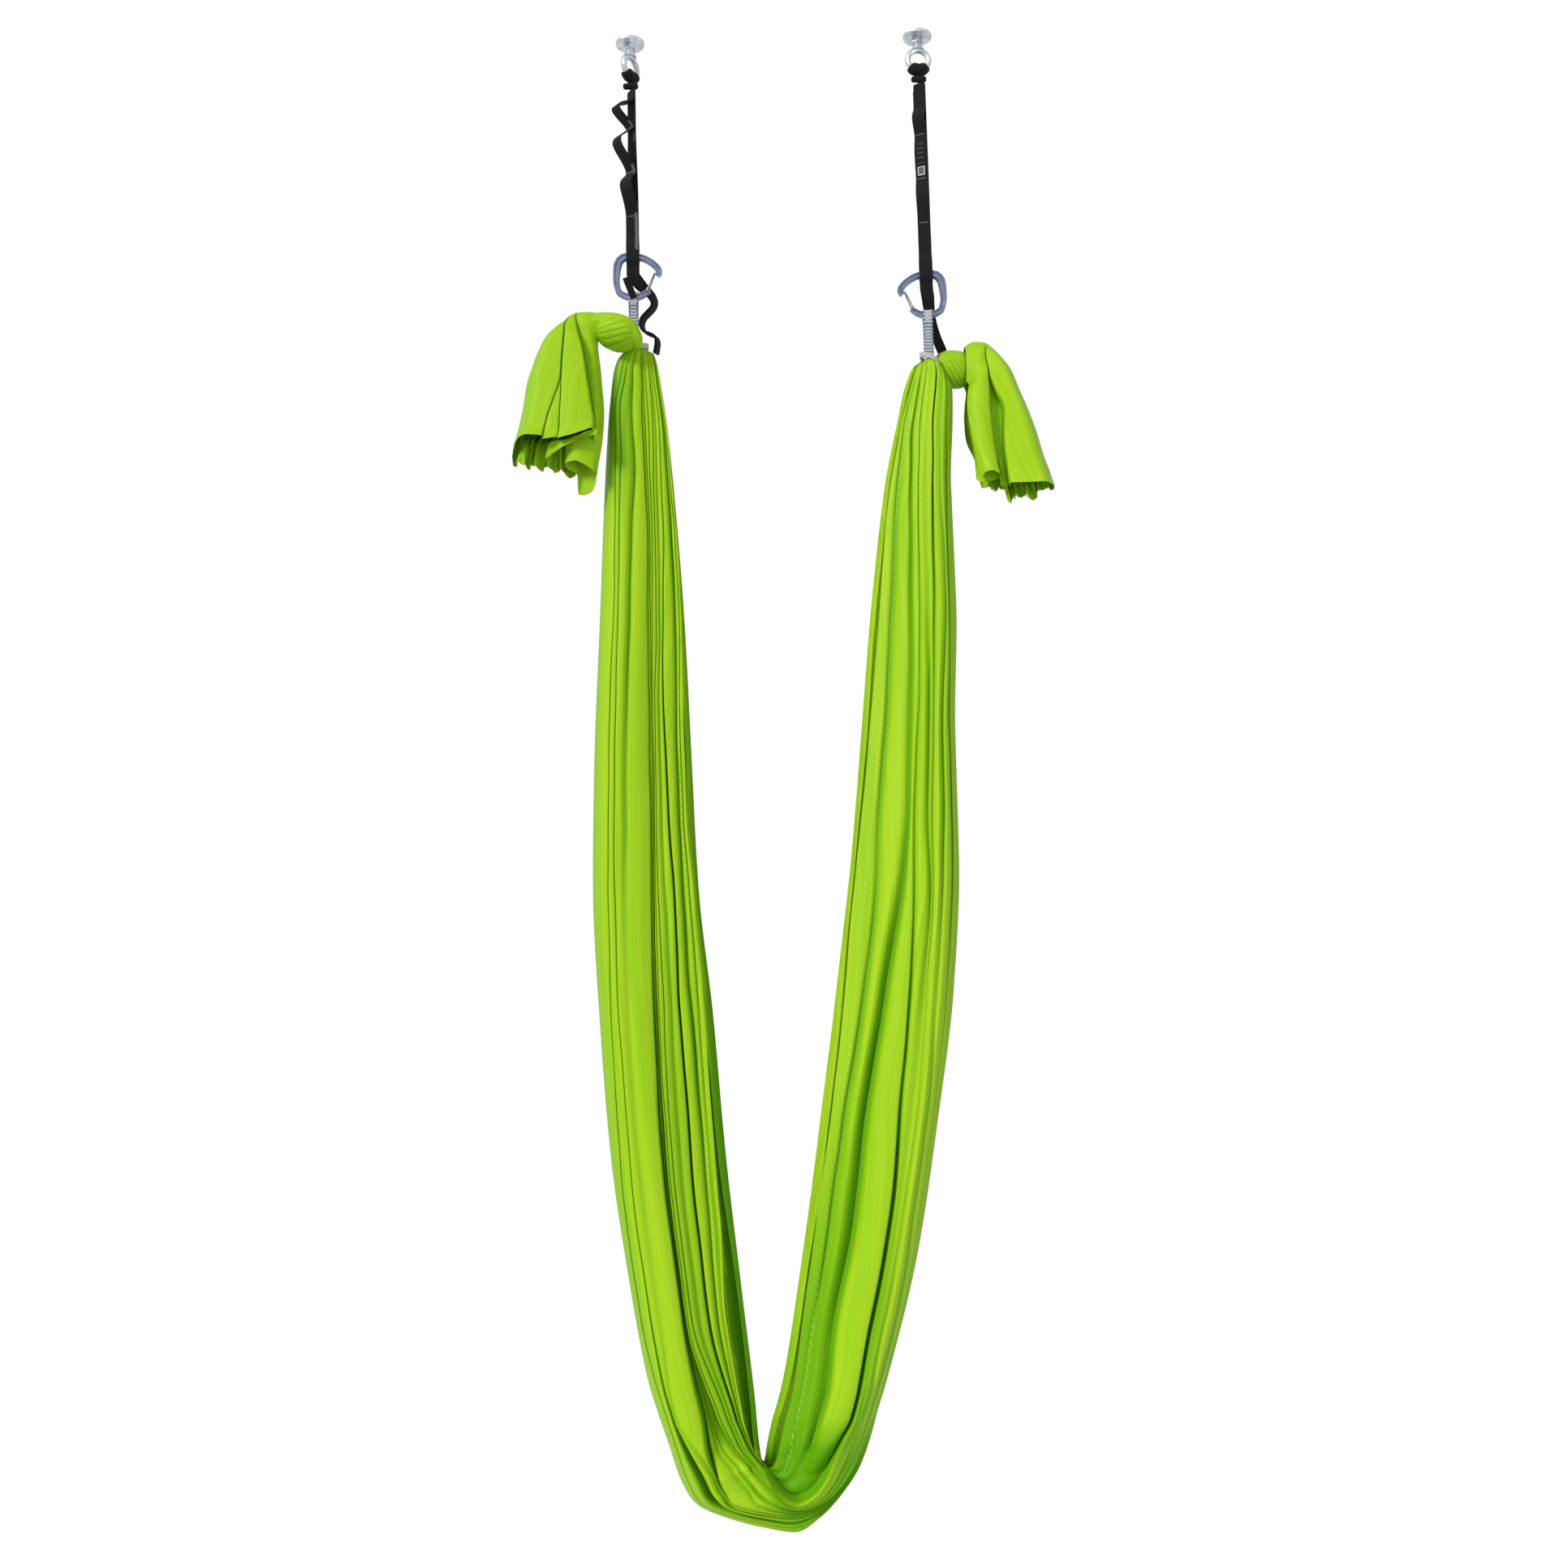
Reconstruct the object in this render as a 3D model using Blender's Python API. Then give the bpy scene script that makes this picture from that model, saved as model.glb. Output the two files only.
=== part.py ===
"""Aerial hammock: two ceiling anchors, two daisy chains, two carabiners and a knotted silk.

Frame: metres, +Z up, origin in the ceiling plane midway between the two anchor plates,
+X towards the right anchor and +Y away from a viewer who faces the hammock.
"""

import math
from dataclasses import dataclass

import bmesh
import bpy
from mathutils import Matrix, Vector
from mathutils.bvhtree import BVHTree

# Rig layout
ANCHOR_SPACING = 0.480
TOUCH_GAP = 0.0003
BORE_OVERRUN = 0.002

# Ceiling plate, stud, lock nut and eye nut of an M10 anchor
PLATE_DIAMETER = 0.048
PLATE_THICKNESS = 0.004
STUD_DIAMETER = 0.010
NUT_ACROSS_FLATS = 0.017
NUT_HEIGHT = 0.008
EYE_NECK_HEIGHT = 0.0075
EYE_NECK_TOP_DIAMETER = 0.015
EYE_NECK_FOOT_DIAMETER = 0.020
EYE_OUTER_DIAMETER = 0.045
EYE_BAR_DIAMETER = 0.010
EYE_BORE_DEPTH = 0.010
EYE_TURN_LEFT = math.radians(58)
EYE_TURN_RIGHT = math.radians(6)
PLATE_RIM_SHARE = 0.25
STUD_CHAMFER_SHARE = 0.20

# Webbing wrap in each eye and the choking roll below it
WRAP_WIDTH = 0.016
WRAP_INNER_RADIUS = 0.0080
WEBBING_THICKNESS = 0.0024
CHOKE_RADIUS = 0.0058
CHOKE_LENGTH = 0.030
SWAY_CLEARANCE = 0.0005

# Daisy chain webbing
DAISY_WIDTH = 0.021
TACK_PITCH = 0.077
FIRST_TACK_DROP_LEFT = 0.152
FIRST_TACK_DROP_RIGHT = 0.1755
TACK_LENGTH = 0.018
TACK_HEIGHT = 0.0045
TACK_RELIEF = 0.0006
TAG_THICKNESS = 0.0008
DAISY_TAG_WIDTH = 0.012
DAISY_TAG_HEIGHT = 0.015
DAISY_TAG_DROP = 0.240
POCKET_BULGE = 0.030
POCKET_SLACK_LENGTH = 0.048
END_LENGTH_LEFT = 0.128
END_LENGTH_RIGHT = 0.100
END_TURN_LEFT = math.radians(69)
END_TURN_RIGHT = math.radians(0)
TWIST_LEFT = math.radians(48)
TWIST_RIGHT = math.radians(-24)
ARM_TACK_SHARE = 0.85
ARM_HOLD_SHARE = 1.7
ARM_BEND_SHARE = 0.6
END_CURL_SHARE = 0.25
END_TWIST_SHARE = 2.2
LEFT_BULGE_SHARES = (1.0, 1.0, 0.73)
RIGHT_BULGE_SHARES = (0.33, 0.13, 0.30)

# Carabiner, forged I-section bar with a wire gate
CARABINER_HEIGHT = 0.0711
BASKET_RADIUS = 0.034
BASKET_OFFSET = 0.0055
BAR_WIDTH = 0.0104
SPINE_WIDTH = 0.0136
BAR_THICKNESS = 0.0096
BASKET_DROP_LEFT = 0.4453
BASKET_DROP_RIGHT = 0.4880
GATE_WIRE_DIAMETER = 0.0023
GATE_BORE_CLEARANCE = 0.00035
GATE_FOOT_LENGTH = 0.0025
GATE_TIP_WIDTH = 0.0040
GATE_NOSE_CLEARANCE = 0.0006
STRAP_CLEARANCE = 0.0005

# Sling of woven tape between each carabiner and the silk
SLING_WIDTH = 0.0160
SLING_THICKNESS = 0.0018
SLING_CLEARANCE = 0.0005
CROWN_SQUARENESS = 0.4
SLING_TACK_PITCH = 0.0052
SLING_TACK_HEIGHT = 0.0016
SLING_TAG_WIDTH = 0.0115
SLING_TAG_HEIGHT = 0.038
SLING_TAG_TILT = math.radians(20)
NECK_BAND_THICKNESS = 0.0030
NECK_BAND_HEIGHT = 0.0090
STITCH_WIDTH_SHARE = 0.88
STITCH_DROP_SHARE = 2.4
SEAM_DROP_SHARE = 2.1
SPLIT_DROP_SHARE = 1.2
SPLIT_WIDTH_SHARE = 0.75
OPEN_DROP_SHARE = 0.45
TAG_SEAT_SHARE = 0.5

# Silk
SILK_NECK_DIAMETER = 0.032
SILK_DEPTH = 0.050
NECK_DROP_LEFT = 0.534
NECK_DROP_RIGHT = 0.563
NECK_OFFSET_LEFT = 0.008
NECK_OFFSET_RIGHT = 0.001
CROTCH_DROP = 2.272
CROTCH_RADIUS = 0.004
SEAT_RISE = 0.022
SEAT_DEPTH_BELOW_CROTCH = 0.102
TAIL_LENGTH_LEFT = 0.262
TAIL_LENGTH_RIGHT = 0.258
TAIL_REACH = 0.140
TAIL_DEPTH = 0.105
TAIL_HOLLOW = 0.030
KNOT_LENGTH_LEFT = 0.074
KNOT_LENGTH_RIGHT = 0.046
KNOT_THICKNESS = 0.066
SEAT_GAP = 0.0005

# Counts
ROUND_STEPS = 24
BAR_STEPS = 8
BORE_STEPS = 12
BASKET_STEPS = 10
CROWN_STEPS = 6
LEG_RINGS = 24
SLIDE_STEPS = 24
SEAT_LEG_RINGS = 8

# Levels of the anchor's pieces and of the two strap axes
HALF_SPACING = ANCHOR_SPACING / 2
NUT_TOP = -(PLATE_THICKNESS + TOUCH_GAP)
EYE_NECK_TOP = NUT_TOP - NUT_HEIGHT - TOUCH_GAP
EYE_RING_RADIUS = (EYE_OUTER_DIAMETER - EYE_BAR_DIAMETER) / 2
EYE_CENTRE = EYE_NECK_TOP - EYE_NECK_HEIGHT - EYE_OUTER_DIAMETER / 2
EYE_BAR_LEVEL = EYE_CENTRE - EYE_RING_RADIUS
WRAP_OUTER_RADIUS = WRAP_INNER_RADIUS + WEBBING_THICKNESS
SWING_LEVEL = EYE_BAR_LEVEL - WRAP_OUTER_RADIUS - TOUCH_GAP - CHOKE_RADIUS
SWAY_LEVEL = SWING_LEVEL - CHOKE_RADIUS - SWAY_CLEARANCE - DAISY_WIDTH / 2
SILK_NECK_RADIUS = SILK_NECK_DIAMETER / 2
SEAT_TOP_DROP = CROTCH_DROP - SEAT_RISE

# Spare strap ends: across, back and down shares of their length
LEFT_END_SHARES = (
    (0.000, 0.000, -0.047), (0.008, 0.008, -0.109), (0.094, 0.062, -0.211),
    (0.227, 0.141, -0.328), (0.242, 0.203, -0.437), (0.094, 0.250, -0.594),
    (0.109, 0.297, -0.719), (0.266, 0.344, -0.812), (0.250, 0.375, -1.000),
)
RIGHT_END_SHARES = (
    (0.000, 0.000, -0.060), (0.020, 0.030, -0.180), (0.040, 0.112, -0.330),
    (0.060, 0.118, -0.460), (0.090, 0.140, -0.620), (0.160, 0.240, -0.800),
    (0.260, 0.340, -1.000),
)

# Carabiner bar: across and up shares of its height, from the basket to the nose
TOP_ARM_SHARES = (
    (-0.305, 0.330), (-0.302, 0.560), (-0.268, 0.820), (-0.150, 0.965), (0.069, 1.000),
    (0.311, 0.945), (0.534, 0.812), (0.668, 0.655), (0.672, 0.565), (0.640, 0.515),
)
BAR_SECTION_SHARES = (
    (1.00, -0.50), (0.80, -1.00), (0.45, -1.00), (0.30, -0.70), (-0.30, -0.70),
    (-0.45, -1.00), (-0.80, -1.00), (-1.00, -0.50), (-1.00, 0.50), (-0.80, 1.00),
    (-0.45, 1.00), (-0.30, 0.70), (0.30, 0.70), (0.45, 1.00), (0.80, 1.00), (1.00, 0.50),
)
GATE_HINGE_ANGLE = math.radians(41)
BASKET_END_ANGLE = math.radians(49)
BASKET_START_ANGLE = math.radians(-42)
GATE_BELLY_SHARE = 0.16
GATE_BEND_SHARE = 0.04
GATE_TAPER_SHARES = (0.8, 0.4)
BAR_END_SHARE = 0.78
BAR_TAPER_SHARE = 0.12
SPINE_PLACE_SHARE = 0.56
SPINE_REACH_SHARE = 0.16

# Silk legs: drop share from neck to crotch, then outer and inner edge shares of the half spacing
LEFT_LEG_SHARES = (
    (0.000, -1.040, -0.905), (0.008, -1.105, -0.865), (0.020, -1.150, -0.840),
    (0.038, -1.165, -0.825), (0.073, -1.182, -0.783), (0.132, -1.210, -0.746),
    (0.270, -1.258, -0.683), (0.390, -1.300, -0.654), (0.508, -1.317, -0.621),
    (0.623, -1.280, -0.538), (0.737, -1.220, -0.480), (0.848, -1.108, -0.404),
    (0.930, -1.000, -0.342), (0.987, -0.867, -0.300), (1.000, -0.830, -0.296),
)
RIGHT_LEG_SHARES = (
    (0.000, 1.070, 0.935), (0.008, 1.085, 0.880), (0.020, 1.120, 0.850),
    (0.032, 1.146, 0.815), (0.054, 1.146, 0.779), (0.124, 1.117, 0.667),
    (0.235, 1.121, 0.554), (0.357, 1.083, 0.458), (0.478, 1.075, 0.363),
    (0.596, 1.008, 0.242), (0.712, 0.875, 0.113), (0.825, 0.721, -0.017),
    (0.934, 0.500, -0.163), (0.987, 0.371, -0.268), (1.000, 0.355, -0.280),
)
# Seat underside, seen from the crotch: across and up shares of the seat depth
SEAT_OUTLINE_SHARES = (
    (-1.363, 0.216), (-1.240, -0.150), (-1.120, -0.420), (-0.850, -0.680), (-0.560, -0.800),
    (-0.255, -0.863), (0.060, -0.930), (0.310, -0.975), (0.560, -0.955), (0.800, -0.815),
    (1.010, -0.620), (1.180, -0.451), (1.360, -0.180), (1.500, 0.030), (1.549, 0.216),
)
# Folds of the front face from the outer edge to the inner edge: place share, depth share
FRONT_FOLD_SHARES = (
    (0.00, 0.00), (0.03, 0.50), (0.12, 0.86), (0.24, 0.92), (0.32, 0.78), (0.35, 0.22),
    (0.38, 0.70), (0.46, 0.80), (0.54, 0.62), (0.57, 0.20), (0.61, 0.58), (0.70, 0.50),
    (0.78, 0.30), (0.80, -0.10), (0.90, -0.22), (1.00, -0.30),
)
BACK_FOLD_SHARES = (
    (0.97, 0.52), (0.88, 0.72), (0.82, 0.44), (0.74, 0.86), (0.62, 0.90), (0.56, 0.46),
    (0.47, 0.94), (0.34, 0.90), (0.28, 0.42), (0.20, 0.82), (0.08, 0.62),
)
# Growth of the silk's depth with the drop share
DEPTH_GROWTH_SHARES = (
    (0.0, 0.30), (0.03, 0.42), (0.12, 0.62), (0.30, 0.86), (0.6, 1.0), (1.0, 0.92),
)
CROTCH_SHARE = -0.288
LEG_CROWD_SHARE = 1.35

# Tails: drop share, outer and inner edge shares of the reach, depth share, fold share
LEFT_TAIL_SHARES = (
    (0.000, 0.760, 0.440, 0.16, 0.0), (0.035, 0.930, 0.430, 0.34, 0.3),
    (0.150, 1.060, 0.455, 0.50, 0.7), (0.305, 1.180, 0.418, 0.66, 0.9),
    (0.460, 1.275, 0.388, 0.80, 1.0), (0.620, 1.325, 0.372, 0.92, 1.0),
    (0.780, 1.400, 0.388, 1.00, 1.0), (0.880, 1.420, 0.400, 1.00, 1.0),
)
RIGHT_TAIL_SHARES = (
    (0.000, 0.740, 0.460, 0.16, 0.0), (0.050, 0.860, 0.455, 0.34, 0.3),
    (0.160, 0.930, 0.455, 0.48, 0.6), (0.300, 1.020, 0.450, 0.62, 0.9),
    (0.470, 1.130, 0.372, 0.76, 1.0), (0.620, 1.200, 0.395, 0.88, 1.0),
    (0.780, 1.280, 0.430, 0.96, 1.0), (0.900, 1.370, 0.480, 1.00, 1.0),
)
TAIL_FOLDS = 7
TAIL_FOLD_SHARE = 0.13
TAIL_HEM_LIFT_SHARE = 0.24
TAIL_LINING_SHARES = ((0.82, 0.3), (0.45, 1.0))
TAIL_RING_POINTS = 28

# Knots: places as shares of the knot's thickness, across, back and up from the neck's anchor line
KNOT_FOLDS = 9
KNOT_FOLD_SHARE = 0.07
KNOT_ROUNDNESS = 0.85
KNOT_RING_POINTS = 20
KNOT_RINGS = 12
LEFT_KNOT_SHARES = (-0.38, -0.65, 0.42)
RIGHT_KNOT_SHARES = (0.60, 0.55, -0.26)
LEFT_TAIL_PLACE_SHARES = (-0.45, 0.89)
RIGHT_TAIL_PLACE_SHARES = (0.36, 0.42)


@dataclass(frozen=True)
class Side:
    """What differs between the left and the right half of the rig."""

    name: str
    sign: int
    eye_turn: float
    basket_drop: float
    twist_top: float
    first_tack: float
    bulge_shares: tuple
    end_length: float
    end_turn: float
    end_shares: tuple
    neck_drop: float
    neck_offset: float
    leg_shares: tuple
    knot_length: float
    knot_shares: tuple
    tail_length: float
    tail_shares: tuple
    tail_place_shares: tuple


LEFT = Side("left", -1, EYE_TURN_LEFT, BASKET_DROP_LEFT, TWIST_LEFT, -FIRST_TACK_DROP_LEFT,
            LEFT_BULGE_SHARES, END_LENGTH_LEFT, END_TURN_LEFT, LEFT_END_SHARES,
            NECK_DROP_LEFT, NECK_OFFSET_LEFT, LEFT_LEG_SHARES, KNOT_LENGTH_LEFT,
            LEFT_KNOT_SHARES, TAIL_LENGTH_LEFT, LEFT_TAIL_SHARES, LEFT_TAIL_PLACE_SHARES)
RIGHT = Side("right", 1, EYE_TURN_RIGHT, BASKET_DROP_RIGHT, TWIST_RIGHT, -FIRST_TACK_DROP_RIGHT,
             RIGHT_BULGE_SHARES, END_LENGTH_RIGHT, END_TURN_RIGHT, RIGHT_END_SHARES,
             NECK_DROP_RIGHT, NECK_OFFSET_RIGHT, RIGHT_LEG_SHARES, KNOT_LENGTH_RIGHT,
             RIGHT_KNOT_SHARES, TAIL_LENGTH_RIGHT, RIGHT_TAIL_SHARES, RIGHT_TAIL_PLACE_SHARES)


@dataclass(frozen=True)
class Carrier:
    """An empty on a joint's axis that carries pieces, and its place in the world."""

    empty: object
    origin: Vector


def clear_scene():
    """Remove every object of the open scene."""
    for item in list(bpy.data.objects):
        bpy.data.objects.remove(item, do_unlink=True)


def make_carrier(name, origin, parent=None):
    """Add an empty at a joint axis, under another carrier if one is given."""
    empty = bpy.data.objects.new(name, None)
    bpy.context.scene.collection.objects.link(empty)
    base = parent.origin if parent else Vector((0, 0, 0))
    empty.location = Vector(origin) - base
    if parent:
        empty.parent = parent.empty
    return Carrier(empty, Vector(origin))


def make_material(name, colour, roughness, metallic=0.0):
    """Make a plain Principled material."""
    material = bpy.data.materials.new(name)
    material.use_nodes = True
    shader = material.node_tree.nodes["Principled BSDF"]
    shader.inputs["Base Color"].default_value = (*colour, 1.0)
    shader.inputs["Roughness"].default_value = roughness
    shader.inputs["Metallic"].default_value = metallic
    material.diffuse_color = (*colour, 1.0)
    return material


def finish_piece(name, mesh_data, material, carrier, sharp_angle=math.radians(40)):
    """Turn a bmesh in world places into a named object on its carrier."""
    bmesh.ops.remove_doubles(mesh_data, verts=mesh_data.verts, dist=TOUCH_GAP / 100)
    bmesh.ops.recalc_face_normals(mesh_data, faces=mesh_data.faces)
    bmesh.ops.translate(mesh_data, verts=mesh_data.verts, vec=-carrier.origin)
    mesh = bpy.data.meshes.new(name)
    mesh_data.to_mesh(mesh)
    mesh_data.free()
    mesh.materials.append(material)
    mesh.shade_smooth()
    mesh.set_sharp_from_angle(angle=sharp_angle)
    piece = bpy.data.objects.new(name, mesh)
    bpy.context.scene.collection.objects.link(piece)
    piece.parent = carrier.empty
    return piece


def boolean_with(piece, tool, operation):
    """Join to or cut from a piece with a second object, which becomes a hidden guide."""
    modifier = piece.modifiers.new(tool.name, "BOOLEAN")
    modifier.operation = operation
    modifier.object = tool
    modifier.solver = "EXACT"
    tool.hide_render = True
    tool.display_type = "WIRE"


def add_rings(mesh_data, rings, closed=False):
    """Skin a list of rings of points, with flat caps at the two ends unless it is closed."""
    loops = [[mesh_data.verts.new(point) for point in ring] for ring in rings]
    count = len(loops[0])
    pairs = list(zip(loops, loops[1:]))
    if closed:
        pairs.append((loops[-1], loops[0]))
    for low, high in pairs:
        for index in range(count):
            after = (index + 1) % count
            mesh_data.faces.new((low[index], low[after], high[after], high[index]))
    if not closed:
        mesh_data.faces.new(loops[0])
        mesh_data.faces.new(loops[-1])


def circle_points(radius, steps, level=0.0):
    """Points of a level circle about the Z axis."""
    turns = [2 * math.pi * index / steps for index in range(steps)]
    return [Vector((radius * math.cos(turn), radius * math.sin(turn), level)) for turn in turns]


def hexagon_points(across_flats, steps, level=0.0):
    """Points of a level hexagon about the Z axis, at the angles of a circle's points."""
    points = []
    for point in circle_points(1, steps, level):
        turn = math.atan2(point.y, point.x)
        inside = (turn + math.pi / 6) % (math.pi / 3) - math.pi / 6
        reach = across_flats / 2 / math.cos(inside)
        points.append(Vector((point.x * reach, point.y * reach, level)))
    return points


def smooth_value(table, place, column=1):
    """Read one column of a table of rows at a place, on a smooth curve through its points."""
    last = len(table) - 1
    index = 0
    while index < last - 1 and place > table[index + 1][0]:
        index += 1
    left, right = table[index], table[index + 1]
    before, after = table[max(index - 1, 0)], table[min(index + 2, last)]
    span = right[0] - left[0]
    share = min(max((place - left[0]) / span, 0.0), 1.0)
    slope_left = (right[column] - before[column]) / (right[0] - before[0]) * span
    slope_right = (after[column] - left[column]) / (after[0] - left[0]) * span
    square, cube = share ** 2, share ** 3
    return ((2 * cube - 3 * square + 1) * left[column] + (cube - 2 * square + share) * slope_left
            + (3 * square - 2 * cube) * right[column] + (cube - square) * slope_right)


def smooth_step(share):
    """Ease from 0 to 1."""
    share = min(max(share, 0.0), 1.0)
    return share * share * (3 - 2 * share)


def smooth_path(points, parts):
    """Points on a smooth curve through the given points, with a number of parts in each span."""
    path = []
    for index in range(len(points) - 1):
        before = points[max(index - 1, 0)]
        left, right = points[index], points[index + 1]
        after = points[min(index + 2, len(points) - 1)]
        for part in range(parts):
            share = part / parts
            path.append(0.5 * (2 * left + (right - before) * share
                               + (2 * before - 5 * left + 4 * right - after) * share ** 2
                               + (3 * left - before - 3 * right + after) * share ** 3))
    path.append(points[-1])
    return path


def path_tangents(path):
    """Unit directions along a path."""
    last = len(path) - 1
    return [(path[min(index + 1, last)] - path[max(index - 1, 0)]).normalized()
            for index in range(len(path))]


def tube_rings(path, radius, sides):
    """Rings of a round tube along a path, turned as little as possible from ring to ring."""
    tangents = path_tangents(path)
    across = tangents[0].orthogonal().normalized()
    rings = []
    for place, tangent in zip(path, tangents):
        across = (across - tangent * across.dot(tangent)).normalized()
        other = tangent.cross(across)
        turns = [2 * math.pi * index / sides for index in range(sides)]
        rings.append([place + radius * (across * math.cos(turn) + other * math.sin(turn))
                      for turn in turns])
    return rings


def block_rings(centre, across, through, upward):
    """Two rings of a block, from its centre and its three half edges."""
    corners = (-across - through, across - through, across + through, -across + through)
    return [[centre + corner - upward for corner in corners],
            [centre + corner + upward for corner in corners]]


def ring_tree(rings):
    """Search tree of the skin of a list of rings and of its two caps."""
    count = len(rings[0])
    points = [point for ring in rings for point in ring]
    last = len(points) - count
    faces = [tuple(range(count)), tuple(range(last, len(points)))]
    for base in range(0, last, count):
        for index in range(count):
            after = (index + 1) % count
            faces.append((base + index, base + after, base + count + after, base + count + index))
    return BVHTree.FromPolygons(points, faces)


def skin_points(rings):
    """Corners of a ring skin, and the middles of its edges and of its faces."""
    points = []
    for ring in rings:
        after = ring[1:] + ring[:1]
        points += ring + [near.lerp(far, 0.5) for near, far in zip(ring, after)]
    for low, high in zip(rings, rings[1:]):
        after = high[1:] + high[:1]
        points += [near.lerp(far, 0.5) for near, far in zip(low, high)]
        points += [near.lerp(far, 0.5) for near, far in zip(low, after)]
    return points


def slide_to_seat(rings, direction, reach, seats):
    """Slide rings along a direction, from a reach further out, until they meet a seat."""
    own_tree = ring_tree(rings)
    own_points = skin_points(rings)
    pairs = [(ring_tree(seat), skin_points(seat)) for seat in seats]
    travel = -reach
    for _ in range(SLIDE_STEPS):
        shift = direction * travel
        near = min(min(tree.find_nearest(point + shift)[3] for point in own_points)
                   for tree, _ in pairs)
        near = min([near] + [own_tree.find_nearest(point - shift)[3]
                             for _, points in pairs for point in points])
        travel += near - SEAT_GAP
    return [[point + direction * travel for point in ring] for ring in rings]


def side_centre(side, level=0.0):
    """The point under a side's anchor at a level."""
    return Vector((side.sign * HALF_SPACING, 0, level))


def build_plate(side, carrier, material):
    """Round ceiling plate with the hole that the stud passes through."""
    bore = STUD_DIAMETER / 2 + TOUCH_GAP
    rim = PLATE_THICKNESS * PLATE_RIM_SHARE
    outer = PLATE_DIAMETER / 2
    rings = [circle_points(bore, ROUND_STEPS, 0),
             circle_points(outer, ROUND_STEPS, 0),
             circle_points(outer, ROUND_STEPS, -PLATE_THICKNESS + rim),
             circle_points(outer - rim, ROUND_STEPS, -PLATE_THICKNESS),
             circle_points(bore, ROUND_STEPS, -PLATE_THICKNESS)]
    add_anchor_piece("ceiling_plate", side, rings, True, carrier, material)


def build_stud(side, carrier, material):
    """Threaded stud from the ceiling plane into the eye nut."""
    foot = EYE_NECK_TOP - EYE_BORE_DEPTH + TOUCH_GAP
    radius = STUD_DIAMETER / 2
    chamfer = radius * STUD_CHAMFER_SHARE
    rings = [circle_points(radius, ROUND_STEPS, 0),
             circle_points(radius, ROUND_STEPS, foot + chamfer),
             circle_points(radius - chamfer, ROUND_STEPS, foot)]
    add_anchor_piece("stud", side, rings, False, carrier, material)


def build_lock_nut(side, carrier, material):
    """Hexagon lock nut between the plate and the eye nut."""
    bore = STUD_DIAMETER / 2 + TOUCH_GAP
    foot = NUT_TOP - NUT_HEIGHT
    rings = [circle_points(bore, ROUND_STEPS, NUT_TOP),
             hexagon_points(NUT_ACROSS_FLATS, ROUND_STEPS, NUT_TOP),
             hexagon_points(NUT_ACROSS_FLATS, ROUND_STEPS, foot),
             circle_points(bore, ROUND_STEPS, foot)]
    add_anchor_piece("lock_nut", side, rings, True, carrier, material)


def add_anchor_piece(kind, side, rings, closed, carrier, material):
    """Skin rings about the Z axis and set the piece under its anchor."""
    mesh_data = bmesh.new()
    add_rings(mesh_data, rings, closed)
    bmesh.ops.translate(mesh_data, verts=mesh_data.verts, vec=side_centre(side))
    return finish_piece(f"{kind}_{side.name}", mesh_data, material, carrier)


def build_eye_nut(side, carrier, material):
    """Eye nut: a forged ring, its neck, and the bore that the stud screws into."""
    name = f"eye_nut_{side.name}"
    centre = side_centre(side, EYE_CENTRE)
    mesh_data = bmesh.new()
    rings = []
    for index in range(ROUND_STEPS):
        turn = 2 * math.pi * index / ROUND_STEPS
        outward = Vector((math.sin(turn), 0, math.cos(turn)))
        hub = outward * EYE_RING_RADIUS
        side_turns = [2 * math.pi * part / BAR_STEPS for part in range(BAR_STEPS)]
        rings.append([hub + EYE_BAR_DIAMETER / 2
                      * (outward * math.cos(bend) + Vector((0, math.sin(bend), 0)))
                      for bend in side_turns])
    add_rings(mesh_data, rings, True)
    bmesh.ops.rotate(mesh_data, verts=mesh_data.verts, cent=(0, 0, 0),
                     matrix=Matrix.Rotation(side.eye_turn, 3, "Z"))
    bmesh.ops.translate(mesh_data, verts=mesh_data.verts, vec=centre)
    ring = finish_piece(name, mesh_data, material, carrier)

    neck_foot = EYE_NECK_TOP - EYE_NECK_HEIGHT - EYE_BAR_DIAMETER / 2
    neck = add_anchor_piece("eye_neck_guide", side,
                            [circle_points(EYE_NECK_TOP_DIAMETER / 2, ROUND_STEPS, EYE_NECK_TOP),
                             circle_points(EYE_NECK_FOOT_DIAMETER / 2, ROUND_STEPS, neck_foot)],
                            False, carrier, material)
    bore_radius = STUD_DIAMETER / 2 + TOUCH_GAP
    bore = add_anchor_piece("eye_bore_guide", side,
                            [circle_points(bore_radius, ROUND_STEPS, EYE_NECK_TOP + BORE_OVERRUN),
                             circle_points(bore_radius, ROUND_STEPS, EYE_NECK_TOP - EYE_BORE_DEPTH)],
                            False, carrier, material)
    boolean_with(ring, neck, "UNION")
    boolean_with(ring, bore, "DIFFERENCE")


def build_wrap(side, carrier, material):
    """Turn of webbing round the lowest part of the eye's bar, square to the bar."""
    mesh_data = bmesh.new()
    rings = []
    for index in range(ROUND_STEPS):
        turn = 2 * math.pi * index / ROUND_STEPS
        outward = Vector((0, math.cos(turn), math.sin(turn)))
        along = Vector((WRAP_WIDTH / 2, 0, 0))
        rings.append([outward * WRAP_INNER_RADIUS - along, outward * WRAP_INNER_RADIUS + along,
                      outward * WRAP_OUTER_RADIUS + along, outward * WRAP_OUTER_RADIUS - along])
    add_rings(mesh_data, rings, True)
    bmesh.ops.rotate(mesh_data, verts=mesh_data.verts, cent=(0, 0, 0),
                     matrix=Matrix.Rotation(side.eye_turn, 3, "Z"))
    bmesh.ops.translate(mesh_data, verts=mesh_data.verts, vec=side_centre(side, EYE_BAR_LEVEL))
    finish_piece(f"eye_wrap_{side.name}", mesh_data, material, carrier)


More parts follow.
